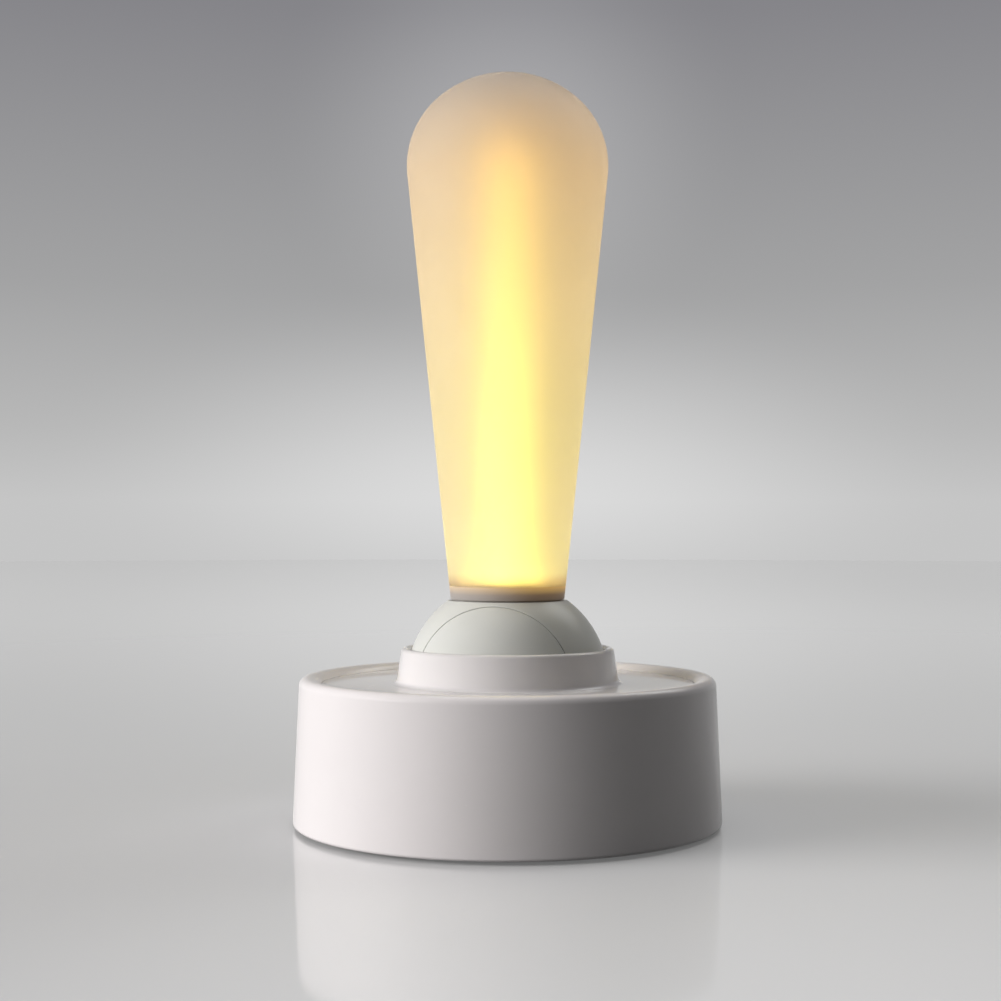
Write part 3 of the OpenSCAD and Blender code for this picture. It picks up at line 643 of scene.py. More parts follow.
NODE_FINISHES: dict[str, Finish] = {
    "bottom_cover": COVER_PLASTIC, "cover_screws": SCREW_STEEL, "ballast_ring": BALLAST_STEEL,
    "cell_pad": PAD_FOAM, "battery_cell": CELL_FOIL, "cell_leads": LEAD_SLEEVE, "main_board": BOARD_GREEN,
    "charge_chip": CHIP_BLACK, "driver_chip": CHIP_BLACK, "power_inductor": CHIP_BLACK,
    "switch_base": SWITCH_BLACK, "switch_can": CAN_STEEL, "switch_knob": SWITCH_BLACK,
    "cradle": CRADLE_STEEL, "cradle_screws": SCREW_STEEL, "pivot_axle": AXLE_STEEL,
    "axle_clips": CLIP_STEEL, "friction_washers": WASHER_BRASS, "rocker_hub": HUB_PLASTIC,
    "wand_socket": SOCKET_PLASTIC, "socket_screws": SCREW_STEEL, "led_board": LAMP_BOARD,
    "led_chips": LAMP_PHOSPHOR, "light_guide": GUIDE_PAINTED_GLOW,
}


def install(bm: Mesh, role: Role, finish: Finish) -> Piece:
    """Makes a finished piece of a mesh and seats it in the frame.

    Args:
        bm: Mesh in millimetres, which is freed.
        role: Name, body and node of the piece.
        finish: Finish of the whole piece.

    Returns:
        The piece.
    """
    bmesh.ops.scale(bm, vec=(MM, MM, MM), verts=bm.verts[:])
    bm.normal_update()
    for face in bm.faces:
        face.smooth = True
    for edge in bm.edges:
        edge.smooth = edge.calc_face_angle(0.0) < CREASE
    piece = loose_object(bm, role.name)
    piece.data.materials.append(finish.material())
    even = piece.modifiers.new("even_normals", "WEIGHTED_NORMAL")
    even.keep_sharp = True
    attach(piece, role.body.value)
    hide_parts(role.node)
    return piece


@dataclass
class Drum:
    """Drum base with its rounded rim, its foot ring and its charging inlet."""

    wall_r: float = 41.45
    draft: float = 2.46
    foot_gap: float = 0.6
    edge_round: float = 0.6
    edge_steps: int = 8
    rim_z: float = 28.65
    rim_round: float = 1.6
    rim_flat: float = 0.067
    rim_steps: int = 14
    slope_round: float = 3.0
    deck_drop: float = 1.3
    deck_t: float = 2.2
    shell_wall: float = 2.4
    ledge_w: float = 2.1
    ledge_t: float = 1.8
    cover_t: float = 2.2
    cover_step: float = 0.6
    foot_w: float = 4.0
    foot_inset: float = 0.5
    foot_seat: float = 0.6
    foot_round: float = 0.35
    tread_steps: int = 5
    inlet_z: float = 14.38
    inlet_w: float = 8.94
    inlet_h: float = 3.16
    inlet_l: float = 7.3
    inlet_wall: float = 0.3
    inlet_depth: float = 6.2
    inlet_recess: float = 0.4
    inlet_space: float = 0.25
    inlet_steps: int = 12
    inlet_lip: float = 0.1
    lip_steps: int = 3
    tongue_w: float = 6.7
    tongue_t: float = 0.7
    tongue_l: float = 4.5
    steps: int = 288

    def wall(self, height: float) -> float:
        """Returns the radius of the drum's wall at a height."""
        return self.wall_r - height * math.tan(math.radians(self.draft))

    @property
    def deck_z(self) -> float:
        """Height of the sunk deck."""
        return self.rim_z - self.deck_drop

    @property
    def ledge_z(self) -> float:
        """Height of the ledge that carries the deck."""
        return self.deck_z - self.deck_t

    @property
    def cover_top(self) -> float:
        """Height of the bottom cover's inner face."""
        return self.foot_gap + self.cover_t

    @property
    def bore_r(self) -> float:
        """Radius of the drum's bore."""
        return self.wall(self.rim_z) - self.shell_wall

    @property
    def rim_arc(self) -> tuple[float, float]:
        """Centre of the rounding of the rim's outer edge."""
        height = self.rim_z - self.rim_round
        return self.wall(height) - self.rim_round / math.cos(math.radians(self.draft)), height

    @property
    def well_r(self) -> float:
        """Radius of the well that the deck lies in."""
        run = math.sqrt(self.slope_round ** 2 - (self.slope_round - self.deck_drop) ** 2)
        return self.rim_arc[0] - self.rim_flat - run

    def stadium(self, width: float, height: float) -> Mesh:
        """Draws a flat face with round ends, upright in the XZ plane and facing back.

        Args:
            width: Width of the face.
            height: Height of the face.

        Returns:
            Mesh of one face about the origin.
        """
        bm = bmesh.new()
        bmesh.ops.create_grid(bm, x_segments=1, y_segments=1, size=0.5)
        bmesh.ops.scale(bm, vec=(width, height, 1.0), verts=bm.verts[:])
        bmesh.ops.bevel(bm, geom=bm.verts[:], offset=height / 2, offset_type="OFFSET", affect="VERTICES",
                        segments=self.inlet_steps, profile=0.5, material=-1)
        bmesh.ops.remove_doubles(bm, verts=bm.verts[:], dist=MERGE_DISTANCE)
        bmesh.ops.rotate(bm, cent=(0.0, 0.0, 0.0), matrix=Matrix.Rotation(-QUARTER_TURN, 3, "X"),
                         verts=bm.verts[:])
        return bm

    def inlet_cutter(self) -> Mesh:
        """Models the block that cuts the inlet's opening into the wall.

        Returns:
            The closed mesh.
        """
        room = 2 * self.inlet_space
        bm = self.stadium(self.inlet_w + room, self.inlet_h + room)
        push_face(bm, bm.faces[:][0], (0.0, -2 * self.shell_wall - self.wall_r + self.bore_r, 0.0))
        bmesh.ops.holes_fill(bm, edges=bm.edges[:])
        place = (0.0, self.wall_r + self.shell_wall / 2, self.inlet_z)
        bmesh.ops.translate(bm, vec=place, verts=bm.verts[:])
        return tidy_mesh(bm)

    def shell(self) -> Mesh:
        """Models the drum's wall with its rim, ledge and lower edge, cut for the inlet.

        Returns:
            The closed mesh.
        """
        edge_z = self.foot_gap + self.edge_round
        lean = math.radians(self.draft)
        edge_r = self.wall(edge_z) - self.edge_round / math.cos(lean)
        cover_bore = self.bore_r + self.cover_step
        rim_r, rim_arc_z = self.rim_arc
        slope_r, slope_z = rim_r - self.rim_flat, self.rim_z - self.slope_round
        slope_turn = math.degrees(math.acos((self.slope_round - self.deck_drop) / self.slope_round))
        ledge_r, ledge_low = self.well_r - self.ledge_w, self.ledge_z - self.ledge_t
        outline = Outline(cover_bore, self.foot_gap).to(edge_r, self.foot_gap)
        outline.arc(edge_r, edge_z, 90.0 + self.draft, self.edge_steps)
        outline.to(rim_r + self.rim_round * math.cos(lean), rim_arc_z + self.rim_round * math.sin(lean))
        outline.arc(rim_r, rim_arc_z, 90.0 - self.draft, self.rim_steps)
        outline.to(slope_r, self.rim_z).arc(slope_r, slope_z, slope_turn, self.rim_steps)
        outline.to(self.well_r, self.ledge_z).to(ledge_r, self.ledge_z).to(ledge_r, ledge_low)
        outline.to(self.bore_r, ledge_low).to(self.bore_r, self.cover_top).to(cover_bore, self.cover_top)
        blank = outline.close().turned(self.steps)
        return cut_away(blank, self.inlet_cutter())

    def foot_ring(self) -> Mesh:
        """Models the rubber ring that the drum stands on, with rounded treads.

        Returns:
            The closed mesh.
        """
        outer, top, soft = self.bore_r - self.foot_inset, self.foot_gap + self.foot_seat, self.foot_round
        inner = outer - self.foot_w
        outline = Outline(inner, top).to(inner, soft).arc(inner + soft, soft, 90.0, self.tread_steps)
        outline.to(outer - soft, 0.0).arc(outer - soft, soft, 90.0, self.tread_steps).to(outer, top)
        return outline.close().turned(self.steps)

    def inlet(self) -> Mesh:
        """Models the charging inlet: a drawn steel shell with a rounded lip and a contact tongue.

        Returns:
            The mesh.
        """
        bm = self.stadium(self.inlet_w, self.inlet_h)
        push_face(bm, bm.faces[:][0], (0.0, -self.inlet_l, 0.0))
        bmesh.ops.holes_fill(bm, edges=bm.edges[:])
        tidy_mesh(bm)
        front = max(bm.faces, key=lambda face: face.calc_center_median().y)
        bmesh.ops.inset_region(bm, faces=[front], thickness=self.inlet_wall, use_even_offset=True)
        push_face(bm, front, (0.0, -self.inlet_depth, 0.0))
        tidy_mesh(bm)
        lip = [edge for edge in bm.edges if all(abs(vert.co.y) < MERGE_DISTANCE for vert in edge.verts)
               and edge.calc_face_angle(0.0) > CORNER]
        bmesh.ops.bevel(bm, geom=lip, offset=self.inlet_lip, offset_type="OFFSET", affect="EDGES",
                        segments=self.lip_steps, profile=0.5, material=-1)
        tongue = bmesh.ops.create_cube(bm, size=1.0)["verts"]
        bmesh.ops.scale(bm, vec=(self.tongue_w, self.tongue_l, self.tongue_t), verts=tongue)
        bmesh.ops.translate(bm, vec=(0.0, self.tongue_l / 2 - self.inlet_depth, 0.0), verts=tongue)
        mouth = math.sqrt(self.wall(self.inlet_z) ** 2 - (self.inlet_w / 2) ** 2) - self.inlet_recess
        bmesh.ops.translate(bm, vec=(0.0, mouth, self.inlet_z), verts=bm.verts[:])
        return bm

    def build(self) -> list[Piece]:
        """Builds and installs the drum's pieces.

        Returns:
            The pieces.
        """
        return [
            install(self.shell(), Role("drum_shell", Body.BASE, "base_shell"), DRUM_PLASTIC),
            install(self.foot_ring(), Role("tread_ring", Body.BASE, "foot_ring"), FOOT_RUBBER),
            install(self.inlet(), Role("charging_inlet", Body.BASE, "usb_socket"), INLET_STEEL),
        ]


@dataclass
class Ball:
    """Ball that the wand stands on: a middle band and a cap at the front and the back."""

    radius: float = 19.63
    centre_z: float = 27.45
    wall_t: float = 1.8
    flat_z: float = 43.2635
    seam_r: float = 15.1
    seam_gap: float = 0.11
    seam_reach: float = 0.066
    seam_ease: float = 0.06
    seam_steps: int = 2
    skirt_drop: float = 6.5
    lead_x: float = 6.8
    lead_hole_r: float = 1.9
    screw_y: float = 4.6
    screw_hole_r: float = 1.1
    drill_l: float = 7.2
    segments: int = 256

    @property
    def seam_y(self) -> float:
        """Distance of the seams' planes from the ball's centre."""
        return math.sqrt(self.radius ** 2 - self.seam_r ** 2)

    def sphere(self) -> Mesh:
        """Models the whole ball with its poles to the front and the back.

        Returns:
            The mesh of its skin.
        """
        bm = bmesh.new()
        place = Matrix.Translation((0.0, 0.0, self.centre_z)) @ Matrix.Rotation(QUARTER_TURN, 4, "X")
        bmesh.ops.create_uvsphere(bm, u_segments=self.segments, v_segments=self.segments // 2,
                                  radius=self.radius, matrix=place)
        return bm

    @staticmethod
    def trim(bm: Mesh, point: Point, away: Point) -> list[Edge]:
        """Cuts off what lies past a plane.

        Args:
            bm: Mesh to trim.
            point: Point on the plane.
            away: Direction of what is cut off.

        Returns:
            Edges along the cut.
        """
        cut = bmesh.ops.bisect_plane(bm, geom=bm.verts[:] + bm.edges[:] + bm.faces[:], dist=MERGE_DISTANCE,
                                     plane_co=point, plane_no=away, clear_outer=True)["geom_cut"]
        return [part for part in cut if isinstance(part, Edge)]

    def thicken(self, bm: Mesh) -> Mesh:
        """Gives an open skin its wall and eases the edges along the seams.

        Args:
            bm: Outer skin.

        Returns:
            The same mesh as a closed shell.
        """
        bmesh.ops.recalc_face_normals(bm, faces=bm.faces[:])
        bmesh.ops.solidify(bm, geom=bm.faces[:], thickness=self.wall_t)
        centre = Vector((0.0, 0.0, self.centre_z))

        def on_seam(vert: Vert) -> bool:
            """Tells whether a vertex lies on the outer edge of a seam."""
            return (abs(abs(vert.co.y) - self.seam_y) < self.seam_reach
                    and (vert.co - centre).length > self.radius - self.seam_ease)

        rim = [edge for edge in bm.edges if all(on_seam(vert) for vert in edge.verts)
               and edge.calc_face_angle(0.0) > CORNER]
        bmesh.ops.bevel(bm, geom=rim, offset=self.seam_ease, offset_type="OFFSET", affect="EDGES",
                        segments=self.seam_steps, profile=0.5, material=-1, clamp_overlap=True)
        return tidy_mesh(bm)

    def skirt(self, bm: Mesh) -> None:
        """Cuts the ball off below its skirt."""
        self.trim(bm, (0.0, 0.0, self.centre_z - self.skirt_drop), (0.0, 0.0, -1.0))

    def band(self) -> Mesh:
        """Models the ball's middle with its flat top, drilled for the leads and the screws.

        Returns:
            The closed mesh.
        """
        bm = self.sphere()
        for side in Side:
            edge_y = side.value * (self.seam_y - self.seam_gap / 2)
            self.trim(bm, (0.0, edge_y, 0.0), (0.0, side.value, 0.0))
        self.skirt(bm)
        crown = self.trim(bm, (0.0, 0.0, self.flat_z), (0.0, 0.0, 1.0))
        bmesh.ops.edgeloop_fill(bm, edges=crown)
        self.thicken(bm)
        drills = bmesh.new()
        holes = [(self.lead_x, 0.0, self.lead_hole_r)]
        holes += [(0.0, side.value * self.screw_y, self.screw_hole_r) for side in Side]
        for x, y, radius in holes:
            add_rod(drills, radius, (x, y, self.flat_z), self.drill_l)
        return cut_away(bm, drills)

    def cap(self, side: Side) -> Mesh:
        """Models the round cap in front of or behind the band.

        Args:
            side: Side of the band that the cap is on.

        Returns:
            The closed mesh.
        """
        bm = self.sphere()
        edge_y = side.value * (self.seam_y + self.seam_gap / 2)
        self.trim(bm, (0.0, edge_y, 0.0), (0.0, -side.value, 0.0))
        self.skirt(bm)
        return self.thicken(bm)

    def build(self) -> list[Piece]:
        """Builds and installs the ball's pieces.

        Returns:
            The pieces.
        """
        front = Role("ball_cap_front", Body.ROCKER, "ball_front_cap")
        rear = Role("ball_cap_rear", Body.ROCKER, "ball_rear_cap")
        return [
            install(self.band(), Role("ball_middle", Body.ROCKER, "ball_band"), BALL_PLASTIC),
            install(self.cap(Side.FRONT), front, BALL_PLASTIC),
            install(self.cap(Side.BACK), rear, BALL_PLASTIC),
        ]


@dataclass
class Deck:
    """Sunk deck with the raised collar that the ball sits in, and the posts below it."""

    drum: Drum
    ball: Ball
    edge_fit: float = 0.08
    edge_ease: float = 0.12
    ease_steps: int = 4
    ball_gap: float = 0.35
    collar_wall: float = 1.6
    collar_draft: float = 8.1
    collar_h: float = 5.95
    lip_steps: int = 18
    socket_steps: int = 12
    fillet: float = 1.0
    fillet_steps: int = 10
    post_r: float = 3.0
    post_at: float = 30.0478
    post_turns: tuple[float, ...] = (45.0, 135.0, 225.0, 315.0)
    post_hole_r: float = 1.27
    post_hole_depth: float = 8.5
    steps: int = 288

    def plate(self) -> Mesh:
        """Models the deck and its collar as one turned piece.

        Returns:
            The closed mesh.
        """
        drum, socket = self.drum, self.ball.radius + self.ball_gap
        lean = math.radians(self.collar_draft)
        deck_z, pivot_z = drum.deck_z, self.ball.centre_z
        lip_z = deck_z + self.collar_h

        def outer(height: float) -> float:
            """Radius of the collar's outer wall."""
            return socket + self.collar_wall - (height - deck_z) * math.tan(lean)

        def inner(height: float) -> float:
            """Radius of the round socket inside the collar."""
            return math.sqrt(socket ** 2 - (height - pivot_z) ** 2)

        lip_r = (outer(lip_z) - inner(lip_z)) / (1.0 + 1.0 / math.cos(lean))
        lip_mid, fillet_z = inner(lip_z) + lip_r, deck_z + self.fillet
        fillet_r = outer(fillet_z) + self.fillet / math.cos(lean)
        edge_r, ease_z = drum.well_r - self.edge_fit, deck_z - self.edge_ease
        low_turn = math.degrees(math.asin((drum.ledge_z - pivot_z) / socket))
        high_turn = math.degrees(math.asin((lip_z - pivot_z) / socket))
        outline = Outline(inner(drum.ledge_z), drum.ledge_z).to(edge_r, drum.ledge_z)
        outline.to(edge_r, ease_z).arc(edge_r - self.edge_ease, ease_z, 90.0, self.ease_steps)
        outline.to(fillet_r, deck_z).arc(fillet_r, fillet_z, self.collar_draft - 90.0, self.fillet_steps)
        outline.to(lip_mid + lip_r * math.cos(lean), lip_z + lip_r * math.sin(lean))
        outline.arc(lip_mid, lip_z, 180.0 - self.collar_draft, self.lip_steps)
        outline.arc(0.0, pivot_z, low_turn - high_turn, self.socket_steps)
        return outline.close().turned(self.steps)

    def add_posts(self, bm: Mesh) -> None:
        """Adds the bored screw posts under the deck.

        Args:
            bm: Mesh of the deck.
        """
        low, high = self.drum.cover_top, self.drum.ledge_z
        for turn in map(math.radians, self.post_turns):
            x, y = self.post_at * math.cos(turn), self.post_at * math.sin(turn)
            verts = add_rod(bm, self.post_r, (x, y, (low + high) / 2), high - low)
            foot = min({face for vert in verts for face in vert.link_faces},
                       key=lambda face: face.calc_center_median().z)
            bmesh.ops.inset_region(bm, faces=[foot], thickness=self.post_r - self.post_hole_r,
                                   use_even_offset=True)
            push_face(bm, foot, (0.0, 0.0, self.post_hole_depth))

    def build(self) -> list[Piece]:
        """Builds and installs the deck.

        Returns:
            The one piece.
        """
        plate = self.plate()
        self.add_posts(plate)
        return [install(plate, Role("deck_and_collar", Body.BASE, "top_deck"), SHADED_DECK_PLASTIC)]


@dataclass
class Wand:
    """Frosted wand: a tapered stem, a round shoulder and a flatter crown, hollow inside."""

    foot_z: float = 43.8635
    foot_r: float = 11.1
    head_r: float = 19.63
    shoulder_r: float = 17.07
    crown_r: float = 21.13
    head_steps: int = 28
    length: float = 101.85
    wall_t: float = 2.0
    foot_ease: float = 0.15
    ease_steps: int = 4
    skirt_z: float = 43.5
    skirt_in: float = 10.5
    band_z: float = 46.1
    steps: int = 256

    def shade(self) -> Mesh:
        """Models the wand's shell as one turned piece.

        Returns:
            The closed mesh.
        """
        crown_z = self.foot_z + self.length - self.crown_r
        side = self.head_r - self.shoulder_r
        rise = math.sqrt((self.crown_r - self.shoulder_r) ** 2 - side ** 2)
        shoulder_z = crown_z + rise
        turn = math.degrees(math.atan2(rise, side))
        run, climb = side - self.foot_r, shoulder_z - self.foot_z
        taper = math.atan2(run, climb) + math.asin(self.shoulder_r / math.hypot(run, climb))
        lean = math.degrees(taper)
        inner_foot = self.foot_r - self.wall_t / math.cos(taper)
        band_run = (self.band_z - self.foot_z) * math.tan(taper)
        outline = Outline(0.0, crown_z + self.crown_r - self.wall_t)
        outline.arc(0.0, crown_z, turn - 90.0, self.head_steps)
        outline.arc(side, shoulder_z, -turn - lean, self.head_steps)
        outline.to(inner_foot + band_run, self.band_z).to(inner_foot, self.foot_z)
        outline.to(self.skirt_in, self.foot_z).to(self.skirt_in, self.skirt_z)
        hem_r = self.foot_r - (self.foot_z - self.skirt_z) * math.tan(taper) - self.foot_ease
        outline.to(hem_r, self.skirt_z)
        outline.arc(hem_r, self.skirt_z + self.foot_ease, 90.0 - lean, self.ease_steps)
        outline.to(self.foot_r + band_run, self.band_z)
        outline.to(side + self.shoulder_r * math.cos(taper), shoulder_z - self.shoulder_r * math.sin(taper))
        outline.arc(side, shoulder_z, turn + lean, self.head_steps)
        outline.arc(0.0, crown_z, 90.0 - turn, self.head_steps)
        outline.tip.co.x = 0.0
        return outline.turned(self.steps)

    def build(self) -> list[Piece]:
        """Builds and installs the wand. Below the part that lets light through is an opaque foot band,
        painted darker as painted shade and given a painted glow.

        Returns:
            The one piece.
        """
        shade = self.shade()
        # Faces below band_z take the foot band's painted shade and glow.
        for face in shade.faces:
            face.material_index = int(face.calc_center_median().z < self.band_z)
        piece = install(shade, Role("frosted_wand", Body.ROCKER, "shade"), SHADE_SILICONE_PAINTED_GLOW)
        piece.data.materials.append(SHADE_FOOT_PAINTED_SHADE_AND_GLOW.material())
        return [piece]


@dataclass
class LampLeads:
    """Pair of leads from the main board up to the lamp, with slack for the swing."""

    radius: float = 0.6
    apart: float = 0.9
    lamp_x: float = 6.8
    board_x: float = 8.2
    bow: float = 4.3
    lamp_z: float = 45.6035
    flange_z: float = 39.2635
    board_z: float = 12.8
    points: int = 24
    round_steps: int = 3

    def route(self) -> list[Vector]:
        """Lays out the points that a lead follows, from the lamp down to the board.

        Returns:
            The points.
        """
        way = [Vector((self.lamp_x, 0.0, self.lamp_z))]
        for index in range(self.points + 1):
            share = index / self.points
            x = self.lamp_x + (self.board_x - self.lamp_x) * share
            x += self.bow * (1.0 - math.cos(FULL_TURN * share)) / 2
            way.append(Vector((x, 0.0, self.flange_z + (self.board_z - self.flange_z) * share)))
        return way

    def curve(self) -> bpy.types.Curve:
        """Draws the two leads side by side as round wire.

        Returns:
            The curve.
        """
        curve = bpy.data.curves.new("lamp_leads", "CURVE")
        curve.dimensions, curve.use_fill_caps = "3D", True
        curve.bevel_depth, curve.bevel_resolution = self.radius * MM, self.round_steps
        way = self.route()
        for side in Side:
            spline = curve.splines.new("POLY")
            spline.points.add(len(way) - 1)
            for point, place in zip(spline.points, way):
                point.co = (place.x * MM, side.value * self.apart * MM, place.z * MM, 1.0)
        return curve

    def build(self) -> list[Piece]:
        """Builds the leads as one piece in place of the frame's leads.

        Returns:
            The one piece.
        """
        holder = bpy.data.objects.new("lead_curve", self.curve())
        bpy.context.scene.collection.objects.link(holder)
        mesh = bpy.data.meshes.new_from_object(holder.evaluated_get(bpy.context.evaluated_depsgraph_get()))
        bpy.data.objects.remove(holder)
        piece = bpy.data.objects.new("lamp_leads", mesh)
        bpy.context.scene.collection.objects.link(piece)
        piece.data.materials.clear()
        piece.data.materials.append(LEAD_SLEEVE.material())
        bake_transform(piece)
        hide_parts("led_leads")
        return [piece]


@dataclass
class CarriedNodes:
    """Pieces of the frame that keep their shape and get a finish."""

    finishes: dict[str, Finish] = field(default_factory=lambda: dict(NODE_FINISHES))

    def build(self) -> list[Piece]:
        """Gives each carried piece its finish.

        Returns:
            The pieces.
        """
        for name, finish in self.finishes.items():
            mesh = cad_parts[name].data
            mesh.materials.clear()
            mesh.materials.append(finish.material())
        return [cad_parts[name] for name in self.finishes]


@dataclass(frozen=True)
class SoftBox:
    """Square lamp with soft edges, hung at an angle about the object."""

    name: str
    azimuth: float
    elevation: float
    distance: float
    width: float
    height: float
    power: float
    colour: Colour = WHITE
    in_gloss: bool = True

    def hang(self, target: Vector) -> None:
        """Hangs the lamp so that it faces a point.

        Args:
            target: Point that the lamp faces, in metres.
        """
        way = compass(self.azimuth, self.elevation)
        lamp = bpy.data.lights.new(self.name, "AREA")
        lamp.shape, lamp.size, lamp.size_y = "RECTANGLE", self.width, self.height
        lamp.energy, lamp.color = self.power, self.colour
        self.soften(lamp)
        holder = bpy.data.objects.new(self.name, lamp)
        holder.location = target + way * self.distance
        holder.visible_glossy = self.in_gloss
        holder.rotation_euler = (-way).to_track_quat("-Z", "Y").to_euler()
        bpy.context.scene.collection.objects.link(holder)

    @staticmethod
    def soften(lamp: bpy.types.Light) -> None:
        """Lets the lamp fade from its middle to its edges.

        Args:
            lamp: Lamp whose face is shaded.
        """
        lamp.use_nodes = True
        tree = lamp.node_tree
        face = add_node(tree, "ShaderNodeNewGeometry").outputs["Parametric"]
        spots = add_node(tree, "ShaderNodeSeparateXYZ", {0: face}).outputs
        fades = [combine(tree, "MULTIPLY", along, combine(tree, "SUBTRACT", 1.0, along))
                 for along in (spots["X"], spots["Y"])]
        level = combine(tree, "MULTIPLY", combine(tree, "MULTIPLY", *fades), FADE_SCALE)
        tree.links.new(level, tree.nodes["Emission"].inputs["Strength"])


@dataclass(frozen=True)
class PaintedPool:
    """Soft pool painted on the floor or the backdrop, as painted light or as painted shade."""

    middle: Point
    radius: float
    lift: float
    squash: float = 1.0

    def level(self, tree: Tree, base: float = 0.0) -> Socket:
        """Returns the socket that gives the pool's level above a base."""
        return EFFECTS.place(tree, EFFECTS.painted_pool, Middle=self.middle, Stretch=(1.0, 1.0, self.squash),
                             Radius=self.radius, Inside=base + self.lift, Outside=base)


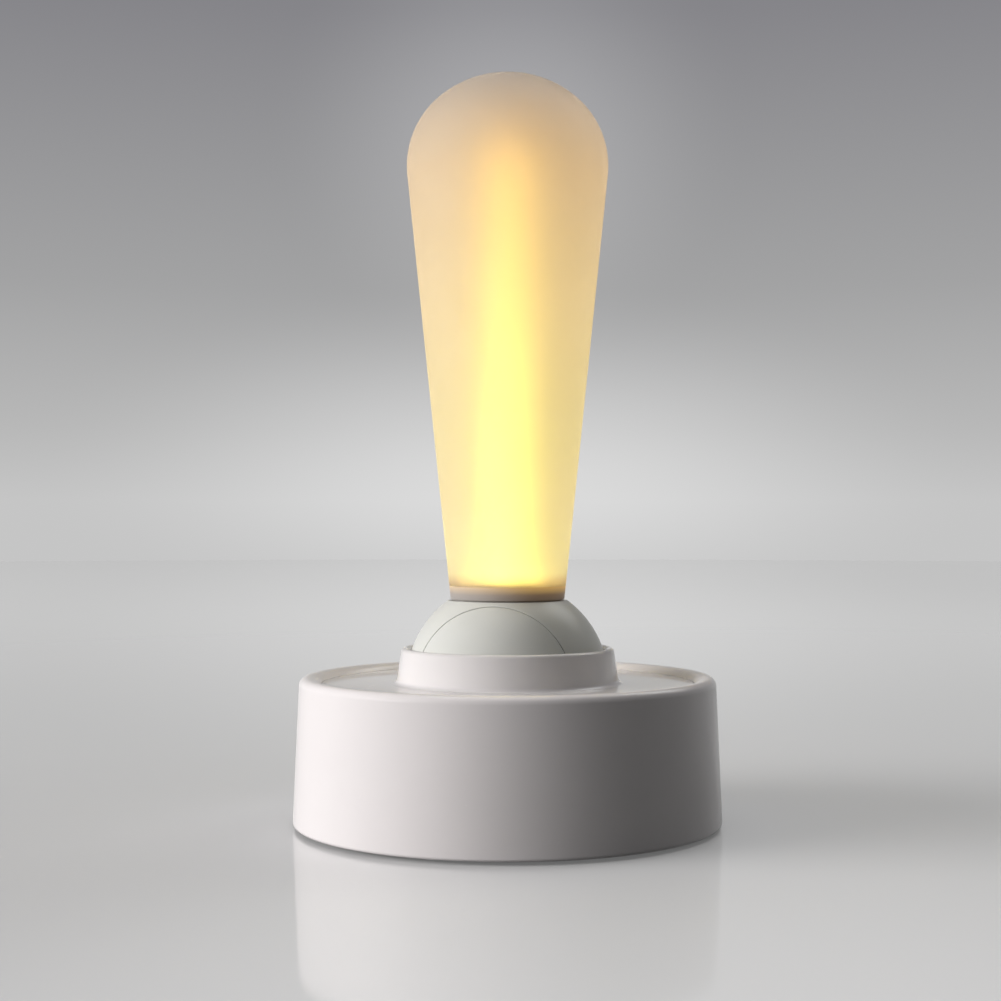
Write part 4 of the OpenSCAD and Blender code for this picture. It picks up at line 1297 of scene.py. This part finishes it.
@dataclass
class Studio:
    """Plain pale floor, a round backdrop, soft lamps and the camera."""

    lens_px: float = 1681.2
    sensor: float = 36.0
    camera_distance: float = 0.3274
    camera_height: float = 0.05843
    camera_azimuth: float = 12.14
    camera_rise: float = 0.737
    axis_px: float = 507.6
    floor_colour: Colour = (0.7, 0.7, 0.7)
    # Colour of the painted shade on the floor towards the key lamp's foot.
    painted_floor_dim: Colour = (0.05, 0.05, 0.05)
    floor_bounce: Colour = (0.18, 0.18, 0.18)
    floor_lift: float = 0.065
    floor_roughness: float = 0.08
    stage_r: float = 2.3
    stage_h: float = 2.6
    stage_steps: int = 128
    backdrop: tuple[Stop, ...] = (
        Stop(0.0, (0.56, 0.56, 0.56)), Stop(92.0, (0.56, 0.56, 0.56)), Stop(200.0, (0.48, 0.48, 0.48)),
        Stop(420.0, (0.365, 0.365, 0.369)), Stop(860.0, (0.236, 0.234, 0.251)),
        Stop(2600.0, (0.2, 0.2, 0.215)),
    )
    # Painted glow on the backdrop behind the object, and round the wand's head in the view.
    painted_wall_glow: PaintedPool = PaintedPool((-0.4837, 2.2486, 0.15), radius=0.75, lift=0.17, squash=2.6)
    painted_head_glow: PaintedPool = PaintedPool((-0.4837, 2.2486, 0.673), radius=0.385, lift=0.12)
    # Painted pool of light on the near floor in front of the object, and painted shade that darkens the
    # floor towards the key lamp's foot.
    painted_floor_glow: PaintedPool = PaintedPool((0.06, -0.14, 0.0), radius=0.2, lift=0.15)
    painted_floor_shade: PaintedPool = PaintedPool((-1.74, -0.85, 0.0), radius=2.3, lift=1.0)
    ambient: float = 0.03
    lamp_aim: float = 0.05
    lamps: tuple[SoftBox, ...] = (
        SoftBox("key_lamp", azimuth=-64.0, elevation=14.0, distance=2.0, width=2.0, height=1.0, power=119.0,
                colour=(1.0, 0.98, 0.978), in_gloss=False),
        SoftBox("top_lamp", azimuth=-90.0, elevation=87.0, distance=1.0, width=1.0, height=1.0, power=5.7),
        SoftBox("edge_lamp", azimuth=145.0, elevation=48.0, distance=1.0, width=0.6, height=0.8, power=4.7),
    )

    def place_camera(self) -> None:
        """Sets up the camera at the photograph's angle."""
        data = bpy.data.cameras.new("view_camera")
        data.sensor_width = self.sensor
        data.lens = self.lens_px / PICTURE_SIDE * self.sensor
        data.shift_x = (PICTURE_SIDE / 2 - self.axis_px) / PICTURE_SIDE
        camera = bpy.data.objects.new("view_camera", data)
        camera.location = compass(self.camera_azimuth, 0.0) * self.camera_distance
        camera.location.z = self.camera_height
        look = -compass(self.camera_azimuth, -self.camera_rise)
        camera.rotation_euler = look.to_track_quat("-Z", "Y").to_euler()
        bpy.context.scene.collection.objects.link(camera)
        bpy.context.scene.camera = camera

    def floor_material(self) -> Material:
        """Makes the pale, slightly glossy floor. Painted shade darkens it towards the key lamp's foot, and
        a painted pool of light brightens it in front of the object.

        Returns:
            The material.
        """
        material, tree = new_material("studio_floor")
        seen = self.seen_ray(tree)
        # Painted shade towards the key lamp's foot and a painted pool of light in front of the object, seen
        # only directly, in gloss and through glass.
        laid = mix_colours(tree, self.painted_floor_shade.level(tree), rgba(self.floor_colour), rgba(self.painted_floor_dim))
        lift = self.painted_floor_glow.level(tree, self.floor_lift)
        feed(tree, tree.nodes["Principled BSDF"], {
            "Base Color": mix_colours(tree, seen, rgba(self.floor_bounce), laid),
            "Emission Color": combine(tree, "MULTIPLY", seen, lift),
            "Emission Strength": 1.0,
            "Roughness": self.floor_roughness,
        })
        return material

    @staticmethod
    def seen_ray(tree: Tree) -> Socket:
        """Finds where a surface is seen directly, in gloss or through glass.

        Args:
            tree: Tree of the material.

        Returns:
            The socket that is 1 there and 0 elsewhere.
        """
        path = add_node(tree, "ShaderNodeLightPath").outputs
        either = combine(tree, "MAXIMUM", path["Is Camera Ray"], path["Is Glossy Ray"])
        return combine(tree, "MAXIMUM", either, path["Is Transmission Ray"])

    def backdrop_material(self) -> Material:
        """Makes the backdrop, which shows itself to the camera and in gloss and lets lamp light through.

        Returns:
            The material.
        """
        material, tree = new_material("studio_backdrop")
        tree.nodes.remove(tree.nodes["Principled BSDF"])
        tone = height_ramp(tree, self.backdrop)
        # Painted glow behind the object and round the wand's head, added to the backdrop's tone.
        for pool in (self.painted_wall_glow, self.painted_head_glow):
            tone = combine_vectors(tree, "ADD", tone, pool.level(tree))
        glow = add_node(tree, "ShaderNodeEmission", {"Color": tone}).outputs[0]
        clear = add_node(tree, "ShaderNodeBsdfTransparent").outputs[0]
        mixed = add_node(tree, "ShaderNodeMixShader", {0: self.seen_ray(tree), 1: clear, 2: glow})
        tree.links.new(mixed.outputs[0], tree.nodes["Material Output"].inputs["Surface"])
        return material

    def build_stage(self) -> None:
        """Builds the floor and the backdrop, which aren't part of the object."""
        wide, tall = self.stage_r / MM, self.stage_h / MM
        parts = (
            ("studio_floor", Outline(0.0, 0.0).to(wide, 0.0), self.floor_material()),
            ("studio_backdrop", Outline(wide, 0.0).to(wide, tall), self.backdrop_material()),
        )
        for name, outline, material in parts:
            bm = outline.turned(self.stage_steps)
            bmesh.ops.scale(bm, vec=(MM, MM, MM), verts=bm.verts[:])
            part = loose_object(bm, name)
            part.data.materials.append(material)

    def light(self) -> None:
        """Hangs the lamps and sets the weak light from all round."""
        for lamp in self.lamps:
            lamp.hang(Vector((0.0, 0.0, self.lamp_aim)))
        world = bpy.data.worlds.new("studio_air")
        world.use_nodes = True
        air = world.node_tree
        feed(air, air.nodes["Background"], {"Strength": self.ambient, "Color": rgba(WHITE)})
        bpy.context.scene.world = world

    def build(self) -> None:
        """Builds the stage, the light and the camera."""
        self.place_camera()
        self.build_stage()
        self.light()
        bpy.context.scene.view_settings.view_transform = "Standard"


def main() -> None:
    """Builds the night light and its studio and reports each piece."""
    logging.basicConfig(level=logging.INFO, format="%(name)s: %(message)s")
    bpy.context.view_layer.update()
    drum, ball = Drum(), Ball()
    Studio().build()
    for assembly in (drum, Deck(drum, ball), ball, Wand(), LampLeads(), CarriedNodes()):
        for piece in assembly.build():
            mesh = piece.data
            LOG.info("%s: %d faces, finish %s", piece.name, len(mesh.polygons), mesh.materials[0].name)
    LOG.info("sizes noted")


if __name__ == "__main__":
    main()
